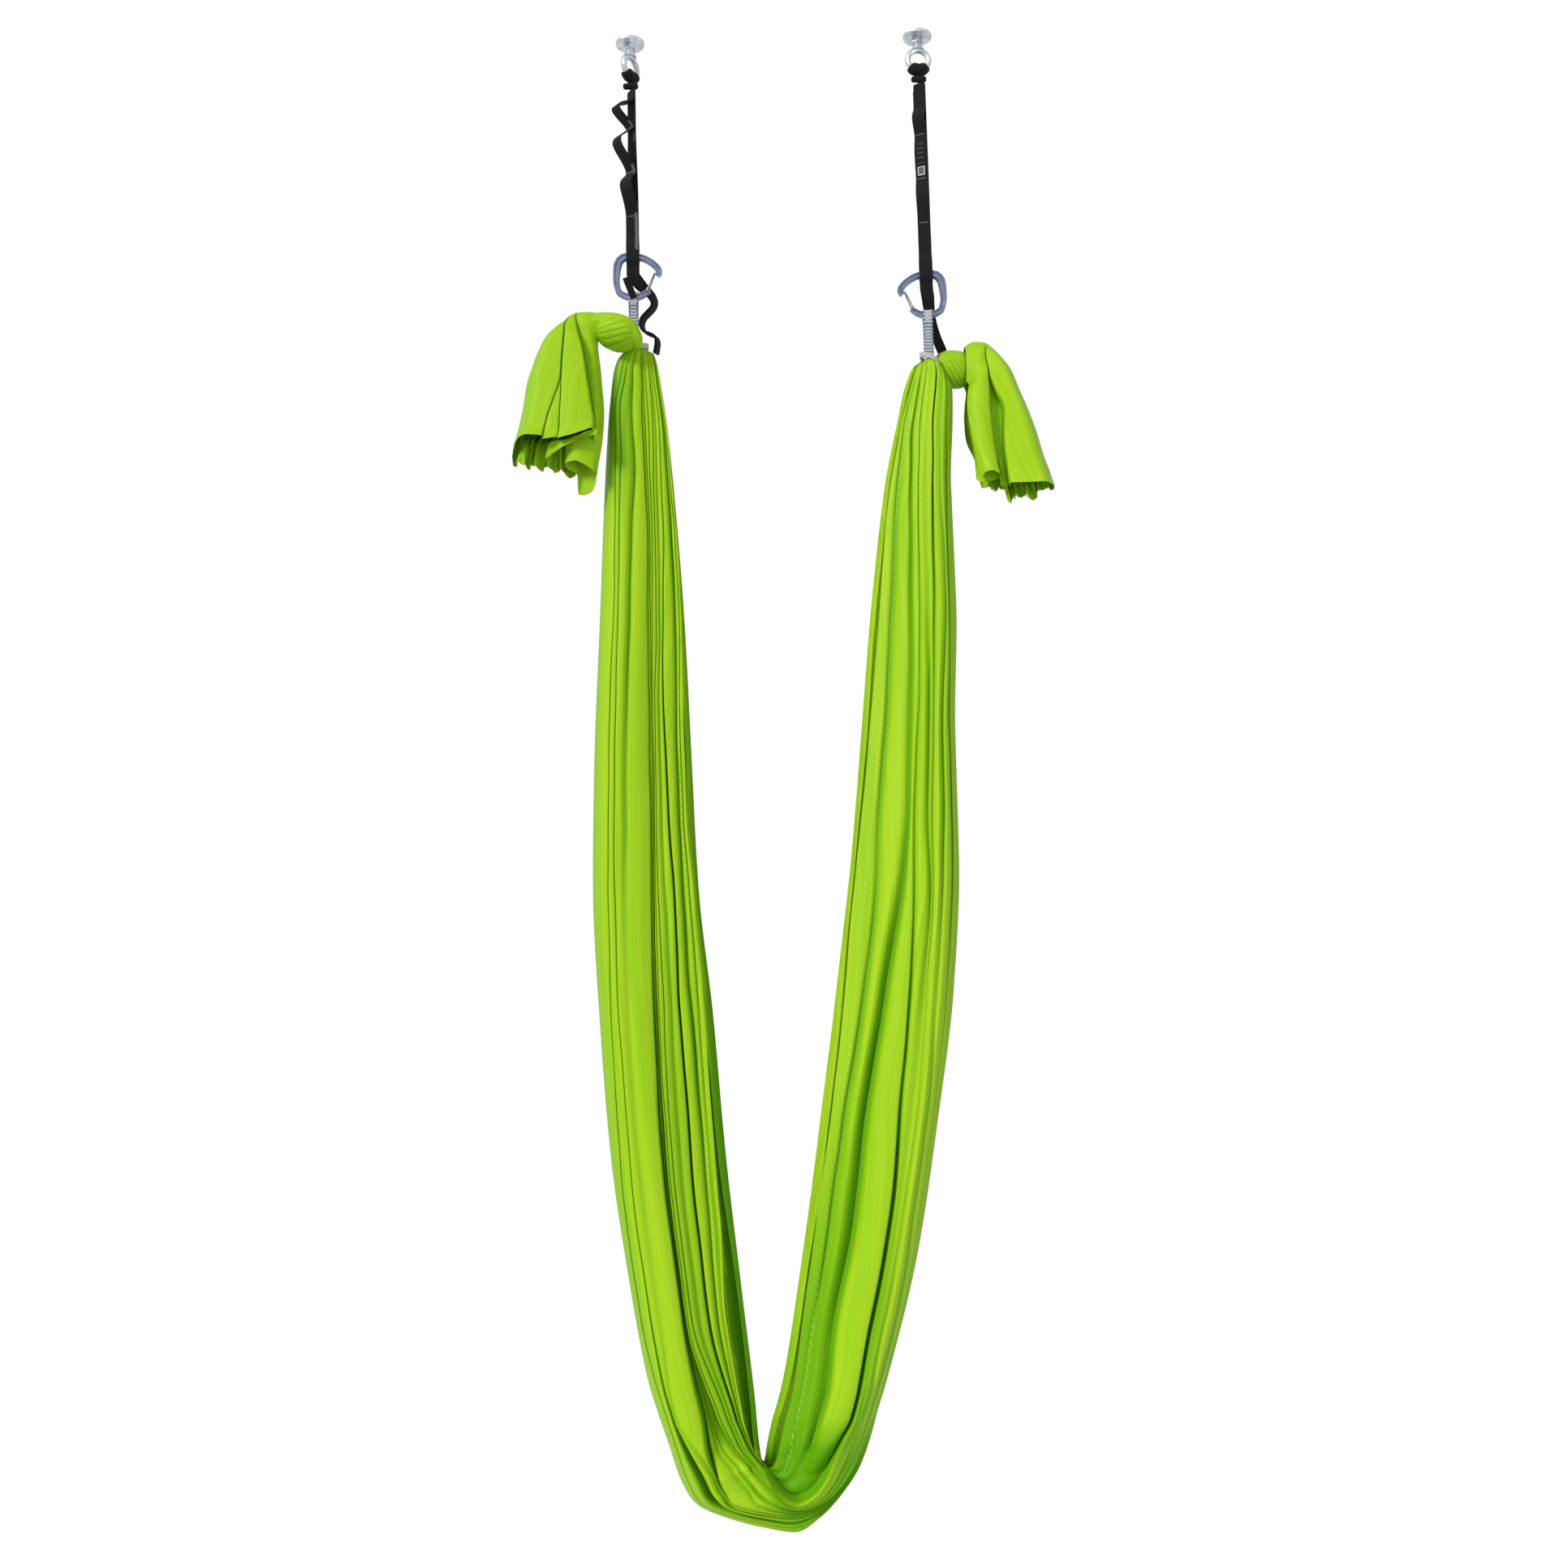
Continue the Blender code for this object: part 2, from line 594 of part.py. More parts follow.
def build_choke(side, carrier, material):
    """Level roll of webbing that chokes the wrap, with the swing axis along its middle."""
    mesh_data = bmesh.new()
    rings = []
    for along in (-CHOKE_LENGTH / 2, CHOKE_LENGTH / 2):
        rings.append([Vector((along, point.x, point.y))
                      for point in circle_points(CHOKE_RADIUS, ROUND_STEPS)])
    add_rings(mesh_data, rings)
    bmesh.ops.translate(mesh_data, verts=mesh_data.verts, vec=side_centre(side, SWING_LEVEL))
    finish_piece(f"choke_{side.name}", mesh_data, material, carrier)


def arm_level(side):
    """Level of the middle of the carabiner's top arm."""
    return -side.basket_drop + CARABINER_HEIGHT


def last_tack(side):
    """Level of the tack just below the carabiner's top arm."""
    return arm_level(side) - BAR_WIDTH / 2 - STRAP_CLEARANCE - DAISY_WIDTH * ARM_TACK_SHARE


def tack_levels(side):
    """Levels of the sewn tacks down one daisy chain."""
    levels = [side.first_tack - TACK_PITCH * index for index in range(3)]
    return levels + [last_tack(side)]


def arm_spread(side, level):
    """How far each layer of webbing stands off the middle to pass round the top arm."""
    reach = arm_level(side) - last_tack(side) - TACK_HEIGHT
    if level > arm_level(side):
        reach = TACK_PITCH / 2
    near = 1 - abs(level - arm_level(side)) / reach
    full = BAR_THICKNESS / 2 + STRAP_CLEARANCE
    return full * smooth_step(near * ARM_HOLD_SHARE)


def pocket_spread(side, level):
    """How far the pocket layer bulges off the backbone between two tacks."""
    levels = tack_levels(side)
    tops = [side.first_tack + POCKET_SLACK_LENGTH] + levels[:2]
    for top, foot, bulge_share in zip(tops, levels, side.bulge_shares):
        if foot < level < top:
            share = (top - level) / (top - foot)
            return POCKET_BULGE * bulge_share * math.sin(math.pi * share ** 0.85) ** 1.6
    return 0.0


def twist_at(side, level):
    """Turn of the webbing about the vertical, easing out towards the carabiner."""
    share = (side.first_tack - level) / (side.first_tack - arm_level(side) - DAISY_WIDTH)
    return side.twist_top * (1 - smooth_step(share))


def webbing_ring(centre, across, normal, half_width, spread):
    """Ring of four corners of a webbing layer whose middle stands off along its normal."""
    middle = centre + normal * spread
    half_layer = normal * WEBBING_THICKNESS / 2
    return [middle - across * half_width - half_layer, middle + across * half_width - half_layer,
            middle + across * half_width + half_layer, middle - across * half_width + half_layer]


def strap_levels(side, top, parts):
    """Levels from a top down to the last tack: evenly spaced, and at the edges of each tack."""
    foot = last_tack(side) - TACK_HEIGHT / 2
    pitch = (top - foot) / parts
    levels = [top - pitch * index for index in range(parts + 1)]
    edges = [level + step * TACK_HEIGHT / 2 for level in tack_levels(side) for step in (-1, 1)]
    bends = [arm_level(side) + step * BAR_WIDTH * ARM_BEND_SHARE for step in (-1, 1)]
    fixed = [level for level in edges + bends if foot <= level < top] + [top, foot]
    kept = [level for level in levels if min(abs(level - other) for other in fixed) > pitch / 3]
    return sorted(set(kept + fixed), reverse=True)


def strap_ring(side, level, facing, half_width):
    """One ring of the backbone (facing 1) or of the pocket layer (facing -1)."""
    turn = twist_at(side, level)
    across = Vector((math.cos(turn), -math.sin(turn), 0)) if side.sign < 0 else \
        Vector((math.cos(turn), math.sin(turn), 0))
    normal = Vector((-across.y, across.x, 0)) * facing
    spread = (WEBBING_THICKNESS + TOUCH_GAP) / 2 + arm_spread(side, level)
    if facing < 0:
        spread += pocket_spread(side, level)
    return webbing_ring(side_centre(side, level), across, normal, half_width, spread)


def build_backbone(side, carrier, material):
    """Straight back layer of the daisy chain, with a round top at the sway axis."""
    radius = DAISY_WIDTH / 2
    rings = []
    for index in range(1, 6):
        lift = math.pi / 2 * (1 - index / 6)
        rings.append(strap_ring(side, SWAY_LEVEL + radius * math.sin(lift), 1,
                                radius * math.cos(lift)))
    for level in strap_levels(side, SWAY_LEVEL, 22):
        rings.append(strap_ring(side, level, 1, radius))
    mesh_data = bmesh.new()
    add_rings(mesh_data, rings)
    finish_piece(f"daisy_backbone_{side.name}", mesh_data, material, carrier)


def build_pockets(side, carrier, material):
    """Front layer of the daisy chain, which bulges into a pocket between tacks."""
    top = SWAY_LEVEL - TACK_HEIGHT
    rings = [strap_ring(side, level, -1, DAISY_WIDTH / 2) for level in strap_levels(side, top, 52)]
    mesh_data = bmesh.new()
    add_rings(mesh_data, rings)
    finish_piece(f"daisy_pockets_{side.name}", mesh_data, material, carrier)


def build_tacks(side, carrier, material):
    """Raised bar tacks on the back of the daisy chain, at each sewn place."""
    for number, level in enumerate(tack_levels(side), 1):
        ring = strap_ring(side, level, 1, DAISY_WIDTH / 2)
        across = (ring[1] - ring[0]).normalized()
        normal = (ring[2] - ring[1]).normalized()
        middle = (ring[2] + ring[3]) / 2 + normal * (TOUCH_GAP + TACK_RELIEF / 2)
        mesh_data = bmesh.new()
        add_rings(mesh_data, block_rings(middle, across * TACK_LENGTH / 2, normal * TACK_RELIEF / 2,
                                         Vector((0, 0, TACK_HEIGHT / 2))))
        finish_piece(f"daisy_tack_{side.name}_{number}", mesh_data, material, carrier)


def build_daisy_tag(carrier, material):
    """Bare tag on the pocket layer of the right daisy chain."""
    level = -DAISY_TAG_DROP
    half_height = DAISY_TAG_HEIGHT / 2
    ring = strap_ring(RIGHT, level, -1, DAISY_WIDTH / 2)
    across = (ring[1] - ring[0]).normalized()
    normal = (ring[2] - ring[1]).normalized()
    crests = [pocket_spread(RIGHT, level + step * half_height) for step in (-1, 0, 1)]
    stand_off = max(crests) - pocket_spread(RIGHT, level) + TACK_RELIEF + TAG_THICKNESS / 2
    middle = ring[2].lerp(ring[3], 1 / 3) + normal * stand_off
    mesh_data = bmesh.new()
    add_rings(mesh_data, block_rings(middle, across * DAISY_TAG_WIDTH / 2,
                                     normal * TAG_THICKNESS / 2, Vector((0, 0, half_height))))
    finish_piece("daisy_tag_right", mesh_data, material, carrier)


def build_daisy_end(side, carrier, material):
    """Spare end of the daisy chain, both layers together, hanging behind the sling."""
    start = side_centre(side, last_tack(side) - TACK_HEIGHT / 2 - TOUCH_GAP)
    route = [side.end_length * (Vector(row) - Vector(side.end_shares[0]))
             for row in side.end_shares]
    path = smooth_path([start + point for point in route], 3)
    tangents = [Vector((0, 0, -1))] * 2 + path_tangents(path)[2:]
    rings = []
    for index, (place, tangent) in enumerate(zip(path, tangents)):
        share = smooth_step(END_TWIST_SHARE * (index - 2) / len(path))
        across = Vector((math.cos(share * side.end_turn), math.sin(share * side.end_turn), 0))
        across = (across - tangent * across.dot(tangent)).normalized()
        normal = tangent.cross(across).normalized()
        half = across * DAISY_WIDTH / 2 * (1 - END_CURL_SHARE * share)
        layer = normal * WEBBING_THICKNESS
        rings.append([place - half - layer, place + half - layer,
                      place + half + layer, place - half + layer])
    mesh_data = bmesh.new()
    add_rings(mesh_data, rings)
    finish_piece(f"daisy_end_{side.name}", mesh_data, material, carrier)


def basket_point(angle, radius=BASKET_RADIUS):
    """Point of the basket arc: across and up from the foot of the basket."""
    return radius * math.sin(angle), BASKET_RADIUS - radius * math.cos(angle)


def to_world(side, across, upward, depth=0.0):
    """Place a point of the carabiner; across runs from the spine to the nose."""
    return side_centre(side, -side.basket_drop) + Vector((-side.sign * across, depth, upward))


def carabiner_line():
    """Middle line of the bar, from the gate's hinge round the spine to the nose."""
    points = []
    span = BASKET_START_ANGLE - BASKET_END_ANGLE
    for index in range(BASKET_STEPS + 1):
        across, upward = basket_point(BASKET_END_ANGLE + span * index / BASKET_STEPS)
        points.append(Vector((across, 0, upward)))
    arm = [Vector((across * CARABINER_HEIGHT - BASKET_OFFSET, 0, upward * CARABINER_HEIGHT))
           for across, upward in TOP_ARM_SHARES]
    return points + smooth_path(points[-1:] + arm, 2)[1:]


def bar_half_width(place):
    """Half width of the bar in the carabiner's plane, widest along the spine."""
    taper = smooth_step(place / BAR_TAPER_SHARE) * smooth_step((1 - place) / BAR_TAPER_SHARE)
    ends = BAR_END_SHARE + (1 - BAR_END_SHARE) * taper
    spine = smooth_step(1 - abs(place - SPINE_PLACE_SHARE) / SPINE_REACH_SHARE)
    return (BAR_WIDTH + (SPINE_WIDTH - BAR_WIDTH) * spine) / 2 * ends


def build_carabiner(side, carrier, material):
    """Forged bar of the carabiner, bored across its foot for the gate."""
    line = carabiner_line()
    rings = []
    for index, tangent in enumerate(path_tangents(line)):
        side_way = Vector((tangent.z, 0, -tangent.x))
        half_width = bar_half_width(index / (len(line) - 1))
        ring = []
        for width_share, depth_share in BAR_SECTION_SHARES:
            point = line[index] + side_way * half_width * width_share
            ring.append(to_world(side, point.x, point.z, depth_share * BAR_THICKNESS / 2))
        rings.append(ring)
    mesh_data = bmesh.new()
    add_rings(mesh_data, rings)
    bar = finish_piece(f"carabiner_{side.name}", mesh_data, material, carrier)

    across, upward = basket_point(GATE_HINGE_ANGLE)
    reach = BAR_THICKNESS / 2 + BORE_OVERRUN
    ends = [to_world(side, across, upward, depth) for depth in (-reach, reach)]
    cutter_data = bmesh.new()
    bore_radius = GATE_WIRE_DIAMETER / 2 + GATE_BORE_CLEARANCE
    add_rings(cutter_data, tube_rings(ends, bore_radius, BORE_STEPS))
    cutter = finish_piece(f"gate_bore_guide_{side.name}", cutter_data, material, carrier)
    boolean_with(bar, cutter, "DIFFERENCE")


def gate_hinge(side):
    """Centre of the gate's bore."""
    return to_world(side, *basket_point(GATE_HINGE_ANGLE))


def gate_tip():
    """Place of the gate's tip, held inside the nose: across and up from the basket's foot."""
    before, nose = carabiner_line()[-2:]
    onward = (nose - before).normalized()
    stand_off = bar_half_width(1) + GATE_WIRE_DIAMETER / 2 + GATE_NOSE_CLEARANCE
    place = nose + Vector((onward.z, 0, -onward.x)) * stand_off
    return place.x, place.z


def build_gate(side, carrier, material):
    """Wire gate: one wire from the bore, up both faces and across behind the nose."""
    foot = basket_point(GATE_HINGE_ANGLE)
    tip = gate_tip()
    outer = BAR_THICKNESS / 2 + GATE_WIRE_DIAMETER / 2 + STRAP_CLEARANCE
    inner = BAR_THICKNESS / 2 - GATE_FOOT_LENGTH
    bend = outer - GATE_WIRE_DIAMETER / 3
    taper, point = GATE_TAPER_SHARES
    half = [(0, inner), (0, bend), (GATE_BEND_SHARE, outer), (GATE_BELLY_SHARE, outer),
            (1 - GATE_BELLY_SHARE, GATE_TIP_WIDTH), (1 - GATE_BEND_SHARE, GATE_TIP_WIDTH * taper),
            (1, GATE_TIP_WIDTH * point)]
    spread = [(share, -depth) for share, depth in half]
    spread += [(share, depth) for share, depth in reversed(half)]
    places = []
    for share, depth in spread:
        across, upward = (low + (high - low) * share for low, high in zip(foot, tip))
        places.append(to_world(side, across, upward, depth))
    mesh_data = bmesh.new()
    add_rings(mesh_data, tube_rings(places, GATE_WIRE_DIAMETER / 2, BAR_STEPS))
    finish_piece(f"gate_{side.name}", mesh_data, material, carrier)


def sling_foot(side):
    """Level where the sling meets the band round the silk's neck."""
    return -side.neck_drop + NECK_BAND_HEIGHT / 2 + TOUCH_GAP


def sling_stations(side):
    """Half of the sling's path: depth and height above the basket, from its foot to its crown."""
    shut = (SLING_THICKNESS + TOUCH_GAP) / 2
    open_half = BAR_THICKNESS / 2 + SLING_CLEARANCE + SLING_THICKNESS / 2
    crown = BAR_WIDTH / 2 + SLING_CLEARANCE + SLING_THICKNESS / 2
    foot = sling_foot(side) + side.basket_drop
    stations = [(shut, foot), (shut, foot / 2), (shut, -BAR_WIDTH * SEAM_DROP_SHARE)]
    stations += [(open_half * SPLIT_WIDTH_SHARE, -BAR_WIDTH * SPLIT_DROP_SHARE),
                 (open_half, -BAR_WIDTH * OPEN_DROP_SHARE)]
    for index in range(CROWN_STEPS + 1):
        turn = math.pi / 2 * index / CROWN_STEPS
        stations.append((open_half * max(math.cos(turn), 0) ** CROWN_SQUARENESS,
                         crown * math.sin(turn) ** CROWN_SQUARENESS))
    return stations


def sling_rings(side):
    """Rings of the tape sling, up its front strand, over the basket and down its back strand."""
    half = sling_stations(side)
    path = [Vector((0, -depth, height)) for depth, height in half]
    path += [Vector((0, depth, height)) for depth, height in reversed(half[:-1])]
    tangents = path_tangents(path)
    columns = [SLING_WIDTH * (index / 4 - 0.5) for index in range(5)]
    inner_radius = BASKET_RADIUS - BAR_WIDTH / 2
    rings = []
    for place, tangent in zip(path, tangents):
        outward = Vector((0, tangent.z, -tangent.y)) * -SLING_THICKNESS / 2
        ring = []
        for column, sign in [(c, 1) for c in columns] + [(c, -1) for c in reversed(columns)]:
            rise = inner_radius - math.sqrt(inner_radius ** 2 - column ** 2)
            near = smooth_step(1 + place.z / (BAR_WIDTH * 2))
            ring.append(side_centre(side, -side.basket_drop) + place + outward * sign
                        + Vector((column, 0, rise * near)))
        rings.append(ring)
    return rings


def build_sling(side, carrier, material):
    """Tape sling hung over the basket, both strands sewn together below it."""
    mesh_data = bmesh.new()
    add_rings(mesh_data, sling_rings(side))
    finish_piece(f"sling_{side.name}", mesh_data, material, carrier)


def stitching_rings(side):
    """Rings of the ladder of stitched rows across the sewn part of the sling."""
    back = -(SLING_THICKNESS + TOUCH_GAP / 2 + TOUCH_GAP)
    top = -side.basket_drop - BAR_WIDTH * STITCH_DROP_SHARE
    count = int((top - sling_foot(side)) / SLING_TACK_PITCH)
    half_width = SLING_WIDTH / 2 * STITCH_WIDTH_SHARE
    rings = []
    for index in range(count):
        for step, relief in ((-1, 0.4), (-0.9, 1), (0.9, 1), (1, 0.4)):
            level = top - SLING_TACK_PITCH * index - step * SLING_TACK_HEIGHT / 2
            front = back - TACK_RELIEF * relief
            rings.append([side_centre(side, level) + Vector(corner)
                          for corner in ((-half_width, back, 0), (half_width, back, 0),
                                         (half_width, front, 0), (-half_width, front, 0))])
    return rings


def build_sling_stitching(side, carrier, material):
    """Stitching on the front face of the sling."""
    mesh_data = bmesh.new()
    add_rings(mesh_data, stitching_rings(side))
    finish_piece(f"sling_stitching_{side.name}", mesh_data, material, carrier)


def build_sling_tag(carrier, material):
    """Bare label sewn to the front strand of the left sling."""
    front = BAR_THICKNESS / 2 + SLING_CLEARANCE + SLING_THICKNESS + TOUCH_GAP + TAG_THICKNESS / 2
    upward = Vector((-math.sin(SLING_TAG_TILT), 0, math.cos(SLING_TAG_TILT)))
    across = Vector((upward.z, 0, -upward.x))
    middle = side_centre(LEFT, -LEFT.basket_drop) + Vector((0, -front, 0))
    middle += upward * (SLING_TAG_HEIGHT / 2 - BAR_WIDTH * TAG_SEAT_SHARE)
    mesh_data = bmesh.new()
    add_rings(mesh_data, block_rings(middle, across * SLING_TAG_WIDTH / 2,
                                     Vector((0, TAG_THICKNESS / 2, 0)),
                                     upward * SLING_TAG_HEIGHT / 2))
    finish_piece("sling_tag_left", mesh_data, material, carrier)


def neck_centre(side):
    """Middle of the silk's neck, where the band grips it."""
    return side_centre(side, -side.neck_drop) + Vector((side.neck_offset, 0, 0))


def band_rings(side):
    """Rings of the band round the neck: its inner wall, then its outer wall."""
    inner = SILK_NECK_RADIUS + TOUCH_GAP
    outer = inner + NECK_BAND_THICKNESS
    half = NECK_BAND_HEIGHT / 2
    return [[neck_centre(side) + point for point in circle_points(radius, ROUND_STEPS, level)]
            for radius, level in ((inner, half), (outer, half), (outer, -half), (inner, -half))]


def build_neck_band(side, carrier, material):
    """Hitched band of sling tape round the neck of the silk."""
    mesh_data = bmesh.new()
    add_rings(mesh_data, band_rings(side), True)
    finish_piece(f"neck_band_{side.name}", mesh_data, material, carrier)


def fold_ring(outer, inner, depth):
    """Closed section of folded silk between an outer and an inner edge point."""
    ring = []
    for place, fold in FRONT_FOLD_SHARES:
        ring.append(outer.lerp(inner, place) + Vector((0, -depth * fold, 0)))
    for place, fold in BACK_FOLD_SHARES:
        ring.append(outer.lerp(inner, place) + Vector((0, depth * fold, 0)))
    return ring


def neck_ring(side, level):
    """Round section of the silk's neck, with a point for each point of a folded section."""
    ring = []
    for place, facing in ([(place, -1) for place, _ in FRONT_FOLD_SHARES]
                          + [(place, 1) for place, _ in BACK_FOLD_SHARES]):
        turn = math.pi * place
        ring.append(neck_centre(side) + SILK_NECK_RADIUS * Vector(
            (side.sign * math.cos(turn), facing * math.sin(turn), 0)) + Vector((0, 0, level)))
    return ring


def leg_ring(side, share):
    """Section of a silk leg at a share of its drop from the neck to the crotch."""
    level = -side.neck_drop + share * (side.neck_drop - CROTCH_DROP)
    outer = Vector((smooth_value(side.leg_shares, share, 1) * HALF_SPACING, 0, level))
    inner = Vector((smooth_value(side.leg_shares, share, 2) * HALF_SPACING, 0, level))
    return fold_ring(outer, inner, SILK_DEPTH * smooth_value(DEPTH_GROWTH_SHARES, share))


def leg_rings(side):
    """Rings of a silk leg: round in the band, then folded and growing down to the seat."""
    drop = CROTCH_DROP - side.neck_drop
    start = NECK_BAND_HEIGHT / drop
    end = (SEAT_TOP_DROP - TOUCH_GAP - side.neck_drop) / drop
    rings = [neck_ring(side, step * NECK_BAND_HEIGHT / 2) for step in (1, -1)]
    for index in range(LEG_RINGS):
        share = index / (LEG_RINGS - 1)
        rings.append(leg_ring(side, start + (end - start) * share ** LEG_CROWD_SHARE))
    return rings


def build_leg(side, carrier, material):
    """Hanging silk from the neck band down to the seat, in long folds."""
    mesh_data = bmesh.new()
    add_rings(mesh_data, leg_rings(side))
    finish_piece(f"silk_leg_{side.name}", mesh_data, material, carrier, math.radians(50))


def build_seat(carrier, material):
    """Silk bowl under the crotch, its folds fanned round from one leg to the other."""
    crotch = Vector((CROTCH_SHARE * HALF_SPACING, 0, -CROTCH_DROP))
    depth = SILK_DEPTH * smooth_value(DEPTH_GROWTH_SHARES, 1.0)
    last = len(SEAT_OUTLINE_SHARES) - 1
    rings = []
    for index, (across, upward) in enumerate(SEAT_OUTLINE_SHARES):
        outer = crotch + SEAT_DEPTH_BELOW_CROTCH * Vector((across, 0, upward))
        turn = math.pi * index / last
        inner = crotch + CROTCH_RADIUS * Vector((-math.cos(turn), 0, -math.sin(turn)))
        if index in (0, last):
            side = LEFT if index == 0 else RIGHT
            share = (SEAT_TOP_DROP - side.neck_drop) / (CROTCH_DROP - side.neck_drop)
            outer, inner = (Vector((smooth_value(side.leg_shares, share, column) * HALF_SPACING, 0,
                                    -SEAT_TOP_DROP)) for column in (1, 2))
        rings.append(fold_ring(outer, inner, depth))
    mesh_data = bmesh.new()
    add_rings(mesh_data, rings)
    finish_piece("silk_seat", mesh_data, material, carrier, math.radians(50))


def tail_ring(side, row, top):
    """Section of a tail at one row of its table."""
    drop, outer, inner, depth, fold = row
    length = side.tail_length
    middle = (outer + inner) / 2 * TAIL_REACH
    half_width = (outer - inner) / 2 * TAIL_REACH
    half_depth = depth * TAIL_DEPTH / 2
    ring = []
    for index in range(TAIL_RING_POINTS):
        turn = 2 * math.pi * index / TAIL_RING_POINTS
        wave = 1 + TAIL_FOLD_SHARE * fold * math.cos(TAIL_FOLDS * turn + side.sign)
        lift = length * TAIL_HEM_LIFT_SHARE * drop * (1 - math.sin(turn)) / 2
        ring.append(Vector((side.sign * (HALF_SPACING + middle + half_width * wave * math.cos(turn)),
                            half_depth * wave * math.sin(turn), top - length * drop + lift)))
    return ring


def tail_rings(side, knot):
    """Rings of a tail, folded shut at the top and hollow at the hem, slid against its knot."""
    shift, rise = (KNOT_THICKNESS * share for share in side.tail_place_shares)
    rings = [tail_ring(side, row, rise - side.neck_drop) for row in side.tail_shares]
    middle = sum(rings[-1], Vector()) / TAIL_RING_POINTS
    hem = rings[-1]
    for width_share, lift_share in TAIL_LINING_SHARES:
        lift = Vector((0, 0, TAIL_HOLLOW * lift_share))
        rings.append([middle.lerp(point, width_share) + lift for point in hem])
    rings = [[point + Vector((0, shift, 0)) for point in ring] for ring in rings]
    inward = Vector((-side.sign, 0, 0))
    return slide_to_seat(rings, inward, KNOT_THICKNESS, [knot] + neck_seats(side))


def build_tail(side, knot, carrier, material):
    """Loose tail of the silk, folded over its knot and open at the hem."""
    mesh_data = bmesh.new()
    add_rings(mesh_data, tail_rings(side, knot))
    finish_piece(f"silk_tail_{side.name}", mesh_data, material, carrier, math.radians(50))


def neck_seats(side):
    """Rings of what a knot or a tail can rest against at the neck."""
    return [band_rings(side), leg_rings(side)[:SEAT_LEG_RINGS], sling_rings(side),
            stitching_rings(side)]


def knot_rings(side):
    """Rings of the knotted lobe beside the neck, slid against the band, the sling and the leg."""
    place = side_centre(side, -side.neck_drop) + KNOT_THICKNESS * Vector(side.knot_shares)
    rings = []
    for index in range(1, KNOT_RINGS):
        lean = math.pi * index / KNOT_RINGS
        ring = []
        for part in range(KNOT_RING_POINTS):
            turn = 2 * math.pi * part / KNOT_RING_POINTS
            fold = 1 + KNOT_FOLD_SHARE * math.cos(KNOT_FOLDS * turn + 3 * lean)
            radius = KNOT_THICKNESS / 2 * math.sin(lean) ** KNOT_ROUNDNESS * fold
            ring.append(place + Vector((side.knot_length / 2 * math.cos(lean),
                                        radius * math.cos(turn), radius * math.sin(turn))))
        rings.append(ring)
    inward = Vector((0, -math.copysign(1, place.y), 0))
    return slide_to_seat(rings, inward, KNOT_THICKNESS, neck_seats(side))


def build_knot(side, knot, carrier, material):
    """Knotted lobe of silk beside the neck."""
    mesh_data = bmesh.new()
    add_rings(mesh_data, knot)
    finish_piece(f"silk_knot_{side.name}", mesh_data, material, carrier, math.radians(50))


def build_anchor(side, carrier, steel):
    """Every steel piece of one ceiling anchor."""
    build_plate(side, carrier, steel)
    build_stud(side, carrier, steel)
    build_lock_nut(side, carrier, steel)
    build_eye_nut(side, carrier, steel)


def build_strap(side, carrier, webbing, thread):
    """One daisy chain with its tacks and spare end."""
    build_backbone(side, carrier, webbing)
    build_pockets(side, carrier, webbing)
    build_tacks(side, carrier, thread)
    build_daisy_end(side, carrier, webbing)


def build_silk_side(side, carrier, tape, thread, silk):
    """One side of the silk: its sling, band, leg, knot and tail."""
    knot = knot_rings(side)
    build_sling(side, carrier, tape)
    build_sling_stitching(side, carrier, thread)
    build_neck_band(side, carrier, tape)
    build_leg(side, carrier, silk)
    build_knot(side, knot, carrier, silk)
    build_tail(side, knot, carrier, silk)


def build_hammock():
    """Build the whole hammock on its joint carriers."""
    clear_scene()
    steel = make_material("zinc_steel", (0.62, 0.64, 0.67), 0.28, 1.0)
    alloy = make_material("anodised_alloy", (0.22, 0.25, 0.36), 0.34, 1.0)
    wire = make_material("wire_steel", (0.60, 0.60, 0.60), 0.25, 1.0)
    webbing = make_material("black_webbing", (0.012, 0.011, 0.012), 0.80)
    thread = make_material("grey_thread", (0.20, 0.20, 0.21), 0.75)
    tape = make_material("sling_tape", (0.50, 0.49, 0.52), 0.70)
    tag = make_material("bare_tag", (0.03, 0.03, 0.03), 0.60)
    silk = make_material("green_silk", (0.35, 0.60, 0.03), 0.55)

    anchors = make_carrier("anchors", (0, 0, 0))
    swing = make_carrier("swing_axis", (0, 0, SWING_LEVEL), anchors)
    straps = {}
    for side in (LEFT, RIGHT):
        straps[side.name] = make_carrier(f"sway_axis_{side.name}", side_centre(side, SWAY_LEVEL),
                                         swing)
        gate = make_carrier(f"gate_axis_{side.name}", gate_hinge(side), straps[side.name])
        build_anchor(side, anchors, steel)
        build_wrap(side, anchors, webbing)
        build_choke(side, swing, webbing)
        build_strap(side, straps[side.name], webbing, thread)
        build_carabiner(side, straps[side.name], alloy)
        build_gate(side, gate, wire)
    build_daisy_tag(straps["right"], tag)

    level_axis = side_centre(LEFT, -LEFT.basket_drop + BASKET_RADIUS)
    hammock = make_carrier("silk_level_axis", level_axis, straps["left"])
    for side in (LEFT, RIGHT):
        build_silk_side(side, hammock, tape, thread, silk)
    build_sling_tag(hammock, tag)
    build_seat(hammock, silk)


build_hammock()
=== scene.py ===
"""Visual model of an aerial hammock that hangs from two ceiling anchors."""

import logging
import math
from dataclasses import dataclass, field
from enum import Enum
from typing import Optional, Sequence

import bmesh
import bpy
import numpy as np
from mathutils import Matrix, Vector


